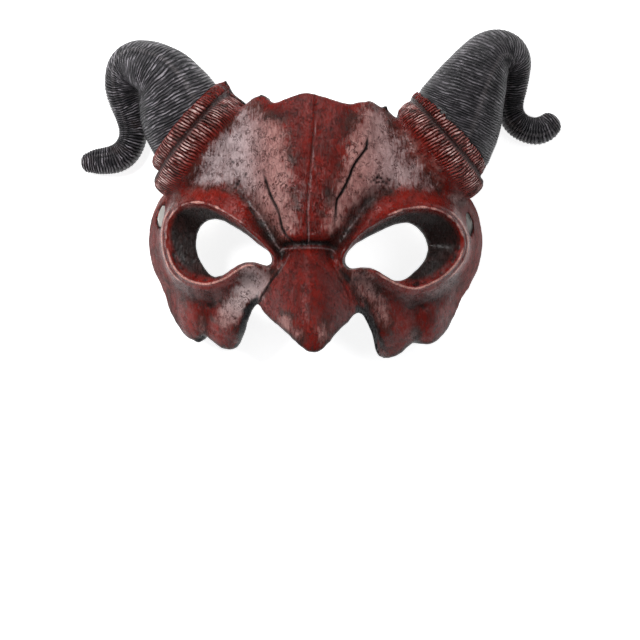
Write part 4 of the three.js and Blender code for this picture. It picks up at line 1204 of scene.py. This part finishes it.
def paint_masks(casting):
    """Where each coat of paint lies."""
    points = face_points(casting)
    x, y, _ = points.T
    ragged = wobble(points, 7, 21)
    crest = crest_distance(x, y)
    worn = worn_and_lit_lines(x, y)
    collar, recess, painted, foot = paint_collars(casting, points)
    pale = smooth_step(24, 48, aside(x)) * smooth_step(20, 40, y) * np.where(x > 0, 0.65, 1)
    # pale lines along the eye rims: dry brush and painted highlight
    crest_brush_and_shine_lines = [
        tent(crest - 0.2, 2.4) * smooth_step(8, -2, y) * smooth_step(26, 40, aside(x)),
        tent(crest - 0.3, 2.8) * smooth_step(0, 10, y) * (0.86 + 0.14 * wobble(points, 6, 31))
        * smooth_step(36, 44, aside(x)),
        0.97 * tent(crest - 3.4, 2.2) * smooth_step(68, 84, aside(x)) * (1 - smooth_step(22, 30, y)),
    ]
    keep_masks(
        casting,
        red=red_front(points, ragged, painted),
        # dark wash and painted shade
        dark=np.maximum(darkened(points, crest, worn) * (1 - collar), recess * 1.2),
        # pale edges beside the grooves: dry brush and painted highlight
        worn=worn * (1 - collar),
        grey=dry_brushed(x, y, ragged) * (1 - collar),
        # the bump on the left cheek marks a painted pool of light
        pale=np.maximum(pale, bump(np.hypot(x + 40, y + 24), 16)),
        vivid=patches(x, y, VIVID_PATCHES) * (1 - collar),
        crest=np.max(crest_brush_and_shine_lines, axis=0),
        temple=smooth_step(3, 8, crest) * smooth_step(84, 92, aside(x) + 0.1 * np.abs(y)),
        # painted pools of light on both cheeks
        bright=bump(np.hypot((x + 42) / 1.2, y + 27.5), 11) + 0.5 * bump(np.hypot(x - 38, y + 22), 7),
        # hollows, for the dark wash and painted shade
        fine_hollow=0.5 + hollowness(casting, 8) * 1.1 * (1 - foot),
        broad_hollow=0.5 + hollowness(casting, 60) * 0.28 * (1 - foot),
    )


def make_casting():
    casting = carve_casting()
    lighten_back(casting)
    refine(casting, near_detail(face_points(casting)))
    refine(casting, near_grooves(face_points(casting), 0.2))
    press_details(casting)
    paint_masks(casting)
    return casting


# The elastic: down from one temple slot, flat along the floor behind the brow, and up to the other
STRAP_WIDTH = 16
STRAP_THICKNESS = 1.3
STRAP_RIBS = 10
STRAP_ROUTE = [
    (-97, 20.1, 23), (-91, 20, 20.4), (-85, 20.8, 17), (-79.5, 23, 13.2), (-74, 26.3, 9.8),
    (-68.5, 30.6, 6.7), (-62.5, 35.9, 4), (-56, 42, 2), (-48.5, 48.2, 1), (-39, 54.2, 0.8),
    (-27, 59.4, 0.8), (-13, 62.6, 0.8), (2, 63.4, 0.8), (17, 61.9, 0.8), (30.5, 57.8, 0.8), (42, 52, 0.8),
    (51.5, 45.8, 1), (59, 38.2, 2), (65.5, 31.6, 4), (71, 26.2, 6.7), (76, 21.9, 9.8), (81, 18.8, 13.2),
    (86.4, 16.5, 17), (92.2, 15.8, 20.4), (98.2, 15.7, 23),
]
STRAP_END_ROUNDING = (1.2, 2.8)


def make_strap():
    route = smooth_line(STRAP_ROUTE, steps=12)
    at = running_length(route)
    rows = 460

    def place(turn, along):
        angle = turn * 2 * math.pi
        c, s = np.cos(angle), np.sin(angle)
        off_middle = np.sign(c) * np.abs(c) ** 0.35
        trim = STRAP_END_ROUNDING[0] + STRAP_END_ROUNDING[1] * off_middle**2
        distance = mix(trim, at[-1] - trim, between_caps(along, rows))
        ahead = np.minimum(distance + 1, at[-1])
        tangent = unit(at_distance(at, route, ahead) - at_distance(at, route, ahead - 2))
        level, up = square_to(tangent)
        across = off_middle * STRAP_WIDTH / 2
        knit = 0.07 * np.cos(across / STRAP_WIDTH * 2 * math.pi * STRAP_RIBS) + 0.04 * np.sin(distance * 6.3)
        lift = np.sign(s) * np.abs(s) ** 0.35 * (STRAP_THICKNESS / 2 - 0.1 + knit)
        across, lift = drawn_together(along, across), drawn_together(along, lift)
        return at_distance(at, route, distance) - level * across[:, None] + up * lift[:, None]

    return wrapped_grid("elastic_band", 96, rows, place)


# Paints, as red, green and blue, for the casting, its collars, the horns and the elastic. Some stand for
# light and shade: the dark wash is partly painted shade, the horn gaps and the recess paint are painted
# shade, and the rib gaps are dark paint and painted shade. The bright pink and lilac are the dry brush
# under a painted pool of light. The worn grey, the crest pink, the rib lights and the horn brush are dry
# brush and painted highlight, and the keel grey is a painted highlight.
FOAM_BLACK = (0.010, 0.010, 0.011)
DEEP_RED, BRIGHT_RED, VIVID_RED = (0.130, 0.008, 0.005), (0.235, 0.012, 0.007), (0.285, 0.016, 0.009)
BROWN_RED, BROWN_STAIN, DARK_WASH_AND_SHADE = (0.045, 0.010, 0.008), (0.035, 0.014, 0.010), (0.016, 0.009, 0.008)
FOOT_PINK, UNDER_BRUSH = (0.20, 0.075, 0.065), (0.062, 0.024, 0.018)
PINKS, LIT_PINK = ((0.28, 0.105, 0.094), (0.475, 0.236, 0.213)), (0.66, 0.47, 0.45)
LILACS, LIT_LILAC = ((0.34, 0.24, 0.24), (0.54, 0.415, 0.42)), (0.66, 0.50, 0.49)
FLECKS, SCORED = (0.03, 0.018, 0.018), (0.035, 0.015, 0.014)
WORN_AND_LIT_GREY, CREST_BRUSH_AND_SHINE = (0.40, 0.335, 0.335), (0.78, 0.38, 0.32)
RIB_REDS, RIB_BROWN = ((0.13, 0.012, 0.008), (0.30, 0.018, 0.010)), (0.028, 0.014, 0.011)
RIB_GAPS, RIB_HIGHLIGHTS, LIP_GREY = (0.010, 0.006, 0.005), (0.92, 0.66, 0.62), (0.13, 0.085, 0.082)
RECESS_SHADE = (0.010, 0.008, 0.008)
CHARCOALS, TIP_BROWN = ((0.022, 0.021, 0.024), (0.046, 0.042, 0.047)), (0.040, 0.020, 0.017)
HORN_BRUSH_AND_GLINT, HORN_GAP_SHADE = (0.39, 0.36, 0.395), (0.003, 0.003, 0.004)
KEEL_HIGHLIGHT, HORN_FOOT = (0.17, 0.15, 0.15), (0.010, 0.009, 0.010)
THREADS = ((0.90, 0.87, 0.80), (0.97, 0.955, 0.91))
GRAIN = ("Streaks", "Blotches", "Specks", "Creases")

# The places of a mix node's inputs A and B, and of its result, when it mixes numbers and when paints
NUMBER_A, NUMBER_B = 2, 3
PAINT_A, PAINT_B, PAINT_MIXED = 6, 7, 2


def new_material(name):
    material = bpy.data.materials.new(name)
    material.use_nodes = True
    return material, material.node_tree, material.node_tree.nodes["Principled BSDF"]


def fill(tree, node, inputs):
    """Gives a node's inputs numbers, paints or what other nodes work out."""
    for name, value in inputs.items():
        socket = node.inputs[name]
        if isinstance(value, Layer):
            tree.links.new(value.socket, socket)
        elif socket.type == "RGBA":
            socket.default_value = (*value, 1)
        elif value is not None:
            socket.default_value = value


def add_node(tree, kind, inputs, **values):
    node = tree.nodes.new(kind)
    for key, value in values.items():
        setattr(node, key, value)
    fill(tree, node, inputs)
    return node


class Layer:
    """What the nodes of a material have worked out so far, so that sums of it are written as sums."""

    def __init__(self, tree, socket):
        self.tree = tree
        self.socket = socket

    def then(self, kind, inputs, output=0, **values):
        return Layer(self.tree, add_node(self.tree, kind, inputs, **values).outputs[output])

    def by(self, operation, other=None, clamp=False):
        return self.then("ShaderNodeMath", {0: self, 1: other}, operation=operation, use_clamp=clamp)

    def __add__(self, other):
        return self.by("ADD", other)

    def __sub__(self, other):
        return self.by("SUBTRACT", other)

    def __mul__(self, other):
        return self.by("MULTIPLY", other)

    def highest(self, other):
        return self.by("MAXIMUM", other)

    def step(self, low, high, to_low=0.0, to_high=1.0):
        """Runs smoothly from one value to another between two heights of this layer."""
        ends = {"Value": self, "From Min": low, "From Max": high, "To Min": to_low, "To Max": to_high}
        return self.then("ShaderNodeMapRange", ends, clamp=True, interpolation_type="SMOOTHSTEP")

    def paint(self, under, over):
        """Lays one paint over another, as thick as this layer says."""
        inputs = {"Factor": self, PAINT_A: under, PAINT_B: over}
        return self.then("ShaderNodeMix", inputs, PAINT_MIXED, data_type="RGBA", clamp_factor=True)


def noise(place, scale, detail=4.0, roughness=0.55, distortion=0.0):
    inputs = {"Vector": place, "Scale": scale, "Detail": detail, "Roughness": roughness}
    inputs["Distortion"] = distortion
    return place.then("ShaderNodeTexNoise", inputs, "Fac")


def stretched(tree, scale):
    place = Layer(tree, add_node(tree, "ShaderNodeTexCoord", {}).outputs["Object"])
    return place.then("ShaderNodeMapping", {"Vector": place, "Scale": scale})


def attributes(tree, names):
    """The values kept at the points, by name."""
    nodes = [add_node(tree, "ShaderNodeAttribute", {}, attribute_name=name) for name in names.split()]
    return [Layer(tree, node.outputs["Fac"]) for node in nodes]


def brushed_grain():
    """Streaks, blotches, fine specks and leathery creases, shared by the foam and the horns."""
    group = bpy.data.node_groups.new("brushed grain", "ShaderNodeTree")
    group.interface.new_socket("Sideways", in_out="INPUT", socket_type="NodeSocketFloat")
    for name in GRAIN:
        group.interface.new_socket(name, in_out="OUTPUT", socket_type="NodeSocketFloat")
    sideways = Layer(group, group.nodes.new("NodeGroupInput").outputs["Sideways"])
    upright = noise(stretched(group, (1.0, 0.2, 0.5)), 820.0, 4.0, 0.62, 0.7)
    level = noise(stretched(group, (0.3, 1.0, 0.6)), 800.0, 5.0, 0.62, 0.6)
    ways = {"Factor": sideways, NUMBER_A: upright, NUMBER_B: level}
    streaks = sideways.then("ShaderNodeMix", ways, data_type="FLOAT")
    even = stretched(group, (1, 1, 1))
    blotches = noise(even, 85.0, 5.0, 0.62, 0.4)
    specks = noise(even, 1500.0, 2.0, 0.6)
    folds = noise(stretched(group, (1.0, 0.6, 1.0)), 400.0, 3.0, 0.6, 2.0)
    between_folds = (folds - 0.5).by("ABSOLUTE").step(0.008, 0.042)
    creases = between_folds.by("ADD", noise(even, 210.0, 2.0).step(0.44, 0.60, 0.8, 0.0), True)
    layers = (streaks, blotches, specks, creases)
    fill(group, group.nodes.new("NodeGroupOutput"), dict(zip(GRAIN, layers)))
    return group


grain_group = brushed_grain()


def use_grain(tree, sideways):
    node = add_node(tree, "ShaderNodeGroup", {"Sideways": sideways}, node_tree=grain_group)
    return [Layer(tree, node.outputs[name]) for name in GRAIN]


def bumped(shader, height, distance):
    node = add_node(height.tree, "ShaderNodeBump", {"Height": height, "Distance": distance, "Strength": 1.0})
    height.tree.links.new(node.outputs["Normal"], shader.inputs["Normal"])


def strand_noise(phase, way, stretch, scale, detail=4.0):
    """Noise drawn out along the ribs, from a phase counted in ribs and a distance in millimetres."""
    place = phase.then("ShaderNodeCombineXYZ", {"X": phase, "Y": way * stretch})
    return noise(place, scale, detail, 0.6, 0.4)


def rib_waves(phase):
    """Ribs of 0 to 1 from a phase counted in ribs."""
    return (phase * math.pi).by("SINE").by("ABSOLUTE")


def painted_foam():
    material, tree, shader = new_material("painted red foam")
    streaks, blotches, specks, creases = use_grain(tree, 0.0)
    red, dark, grey, pale, vivid, worn, crest = attributes(tree, "red dark grey pale vivid worn crest")
    collar, shoulder, lip, foot = attributes(tree, "collar shoulder lip foot")
    bright, temple, fine, broad = attributes(tree, "bright temple fine_hollow broad_hollow")
    counted, on_axis = attributes(tree, "rib_phase on_axis")
    wear = streaks * 0.50 + blotches * 0.54

    # deep red, brighter on the bulges, with brown staining
    coat = blotches.step(0.38, 0.64).paint(DEEP_RED, BRIGHT_RED)
    coat = streaks.step(0.50, 0.64, 0.0, 0.6).paint(coat, BROWN_RED)
    coat = vivid.paint(coat, VIVID_RED)
    coat = (blotches * 0.7 + specks * 0.3).step(0.52, 0.70, 0.0, 0.6).paint(coat, BROWN_STAIN)

    # grey-pink dry brush that misses the creases, painted paler and lighter where a pool of light falls on
    # the cheeks
    coat = (foot * blotches.step(0.42, 0.6)).paint(coat, FOOT_PINK)
    feathered = grey + (wear - 0.52) * vivid.step(0.0, 0.6, 2.2, 1.0)
    stained = grey.step(0.06, 0.34) * grey.step(0.9, 0.5, 0.1, 0.75)
    coat = (stained * blotches.step(0.62, 0.40)).paint(coat, UNDER_BRUSH)
    grey_share = feathered.step(0.26, 0.86) * creases.step(0, 1, 0.12, 1.0) * grey.step(0.02, 0.14)
    pink = bright.paint(wear.step(0.38, 0.66).paint(*PINKS), LIT_PINK)
    lilac = bright.paint(wear.step(0.38, 0.66).paint(*LILACS), LIT_LILAC)
    coat = grey_share.paint(coat, pale.paint(pink, lilac))
    coat = (specks.step(0.645, 0.70, 0.0, 0.8) * (grey + 0.15)).paint(coat, FLECKS)
    coat = (creases.step(0, 1, 0.6, 0.0) * vivid.step(0, 1, 1.0, 0.25)).paint(coat, SCORED)

    # dark wash and painted shade in everything that lies deep, kept lighter under the pool of light
    hollow = fine.step(0.54, 0.80, 0.0, 0.9) * bright.step(0.0, 1.0, 1.0, 0.3) * grey.step(0.1, 0.7, 1.0, 0.4)
    sunken_shade = broad.step(0.58, 0.95, 0.0, 0.5) * bright.step(0.0, 1.0, 1.0, 0.0)
    wash_and_shade = dark.highest(hollow).highest(sunken_shade).by("MULTIPLY", wear.step(0.34, 0.62, 1.15, 0.92), True)
    coat = wash_and_shade.paint(coat, DARK_WASH_AND_SHADE)

    # collar bands: dark paint and painted shade between the ribs, pinkish white dry brush and painted
    # highlights on their shoulders, a plain grey lip, and painted shade in the recess between the rings
    strokes = strand_noise(counted, on_axis, 0.16, 1.3)
    tufts = strand_noise(counted, on_axis, 0.3, 0.42, 2.0)
    rib = rib_waves(counted + (blotches - 0.5) * 0.9)
    reds = strokes.step(0.42, 0.58).paint(*RIB_REDS)
    reds = tufts.step(0.52, 0.68, 0.0, 0.8).paint(reds, RIB_BROWN)
    ribbed = rib.step(0.16, 0.62).paint(RIB_GAPS, reds)
    touched_and_lit = shoulder * rib.step(0.55, 0.9) * strokes.step(0.40, 0.56) * tufts.step(0.62, 0.42, 0.25, 1.15)
    ribbed = (lip * 0.8).paint(touched_and_lit.paint(ribbed, RIB_HIGHLIGHTS), LIP_GREY)
    coat = collar.paint(coat, ribbed)
    # painted shade in the recess between the rings
    coat = (dark * collar).paint(coat, RECESS_SHADE)

    # pale worn edges and the pale line along the eye rims: dry brush and painted highlight
    ridge = crest.step(0.60, 0.90)
    edges = (worn.step(0.36, 0.80) * 0.7).highest(ridge)
    coat = (edges * specks.step(0.36, 0.52, 0.3, 1.0)).paint(coat, ridge.paint(WORN_AND_LIT_GREY, CREST_BRUSH_AND_SHINE))

    leather = streaks * 0.5 + specks * 0.3 + creases * 1.5
    leather = leather * (vivid - grey).step(0.0, 1.0, 1.0, 0.3)
    bumped(shader, leather + rib * collar * 1.6 + strokes * collar * 1.2, 0.0005)
    fill(tree, shader, {
        "Base Color": red.paint(FOAM_BLACK, coat),
        "Roughness": streaks.step(0.35, 0.65, 0.17, 0.32) + grey_share * 0.22 + temple * 0.4,
        "Specular IOR Level": 0.26,
    })
    return material


def horn_foam():
    material, tree, shader = new_material("black horn foam")
    _, blotches, specks, _ = use_grain(tree, 0.5)
    strand, girth, keel, curl = attributes(tree, "strand girth keel curl")
    foot, ribs, brush = attributes(tree, "foot rib_hollow brush")
    wisps = strand_noise(strand, girth, 0.10, 1.5, 4.0)
    bundles = strand_noise(strand, girth, 0.16, 0.42, 3.0)
    crests = rib_waves(strand + (wisps - 0.5) * 0.8)
    base = blotches.step(0.4, 0.65).paint(*CHARCOALS)
    base = (curl * blotches.step(0.5, 0.7, 0.0, 0.8)).paint(base, TIP_BROWN)
    # dry brush and painted glints on the raised ribs
    brushed = wisps.step(0.46, 0.60, 0.06, 1.0) * bundles.step(0.38, 0.60, 0.15, 1.0)
    raised = ribs.step(0.56, 0.38, 0.35, 1.0) * crests.step(0.45, 0.95)
    base = (brushed * raised * brush).paint(base, HORN_BRUSH_AND_GLINT)
    # painted shade in the rib hollows
    gap_shade = crests.step(0.60, 0.15, 0.0, 0.9) * bundles.step(0.62, 0.40, 0.4, 1.0)
    base = ribs.step(0.54, 0.80).paint(gap_shade.paint(base, HORN_GAP_SHADE), HORN_GAP_SHADE)
    # painted highlight along the raised keel
    base = (keel * specks.step(0.3, 0.6, 0.1, 0.45)).paint(base, KEEL_HIGHLIGHT)
    relief = wisps * 1.2 + crests * 0.9 + specks * 0.15
    bumped(shader, relief * foot.step(0.0, 1.0, 1.0, 0.15), 0.0006)
    fill(tree, shader, {
        "Base Color": (foot * 0.8).paint(base, HORN_FOOT),
        "Roughness": wisps.step(0.3, 0.7, 0.42, 0.30),
        "Specular IOR Level": 0.34,
    })
    return material


def knitted_elastic():
    material, tree, shader = new_material("off-white knitted elastic")
    threads = noise(stretched(tree, (1, 1, 1)), 2200.0, 3.0, 0.6)
    colour = threads.step(0.3, 0.7).paint(*THREADS)
    fill(tree, shader, {"Base Color": colour, "Roughness": 0.85, "Sheen Weight": 0.25})
    bumped(shader, threads, 0.0003)
    return material


# The studio: camera first, then floor and lights. A light has a place, a size and a power.
BACKDROP, FLOOR_GLOW = (0.86, 0.86, 0.87), 0.85
SKY, SKY_STRENGTH = (0.95, 0.96, 1.0), 0.11
LIT_PLACE = (0, 0, 0.04)
LIGHTS = {
    "key": ((-0.6, 0.3, 1.05), 0.38, 10),
    "fill": ((0.6, 0.1, 1.0), 0.5, 2.0),
    "top": ((-0.1, 0.9, 0.6), 0.35, 2.4),
}


def make_camera():
    data = bpy.data.cameras.new("camera")
    data.lens = CAMERA_LENS
    data.sensor_width = 36
    camera = bpy.data.objects.new("camera", data)
    camera.location = CAMERA_AT
    bpy.context.scene.collection.objects.link(camera)
    bpy.context.scene.camera = camera


def area_light(name, at, size, power):
    data = bpy.data.lights.new(name, "AREA")
    data.shape = "DISK"
    data.size = size
    data.energy = power
    lamp = bpy.data.objects.new(name, data)
    lamp.location = at
    aim = np.subtract(LIT_PLACE, at)
    flat = math.hypot(aim[0], aim[1])
    lamp.rotation_euler = (math.atan2(flat, -aim[2]), 0, math.atan2(aim[1], aim[0]) - math.pi / 2)
    bpy.context.scene.collection.objects.link(lamp)


def make_studio():
    bpy.ops.object.select_all(action="DESELECT")
    bpy.ops.mesh.primitive_plane_add(size=FLOOR_SIZE)
    floor = bpy.context.object
    floor.name = "floor"
    material, tree, shader = new_material("pale backdrop")
    glow = {"Emission Color": (1, 1, 1), "Emission Strength": FLOOR_GLOW}
    fill(tree, shader, {"Base Color": BACKDROP, "Roughness": 0.9, **glow})
    floor.data.materials.append(material)
    world = bpy.data.worlds.new("studio")
    bpy.context.scene.world = world
    world.use_nodes = True
    sky = world.node_tree.nodes["Background"]
    fill(world.node_tree, sky, {"Color": SKY, "Strength": SKY_STRENGTH})
    for name, light in LIGHTS.items():
        area_light(name, *light)
    bpy.context.scene.view_settings.view_transform = "Standard"


def finished(obj, material, node):
    obj.data.materials.clear()
    obj.data.materials.append(material)
    only(obj)
    bpy.ops.object.shade_smooth()
    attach(obj, "root")
    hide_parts(node)


make_camera()

strap = make_strap()
finished(strap, knitted_elastic(), "elastic_strap")
strap_path = to_row(smooth_line(STRAP_ROUTE, steps=6))

horn_material = horn_foam()
for side in HORNS:
    finished(make_horn(side), horn_material, f"{side}_horn")

finished(make_casting(), painted_foam(), "half_mask")

make_studio()
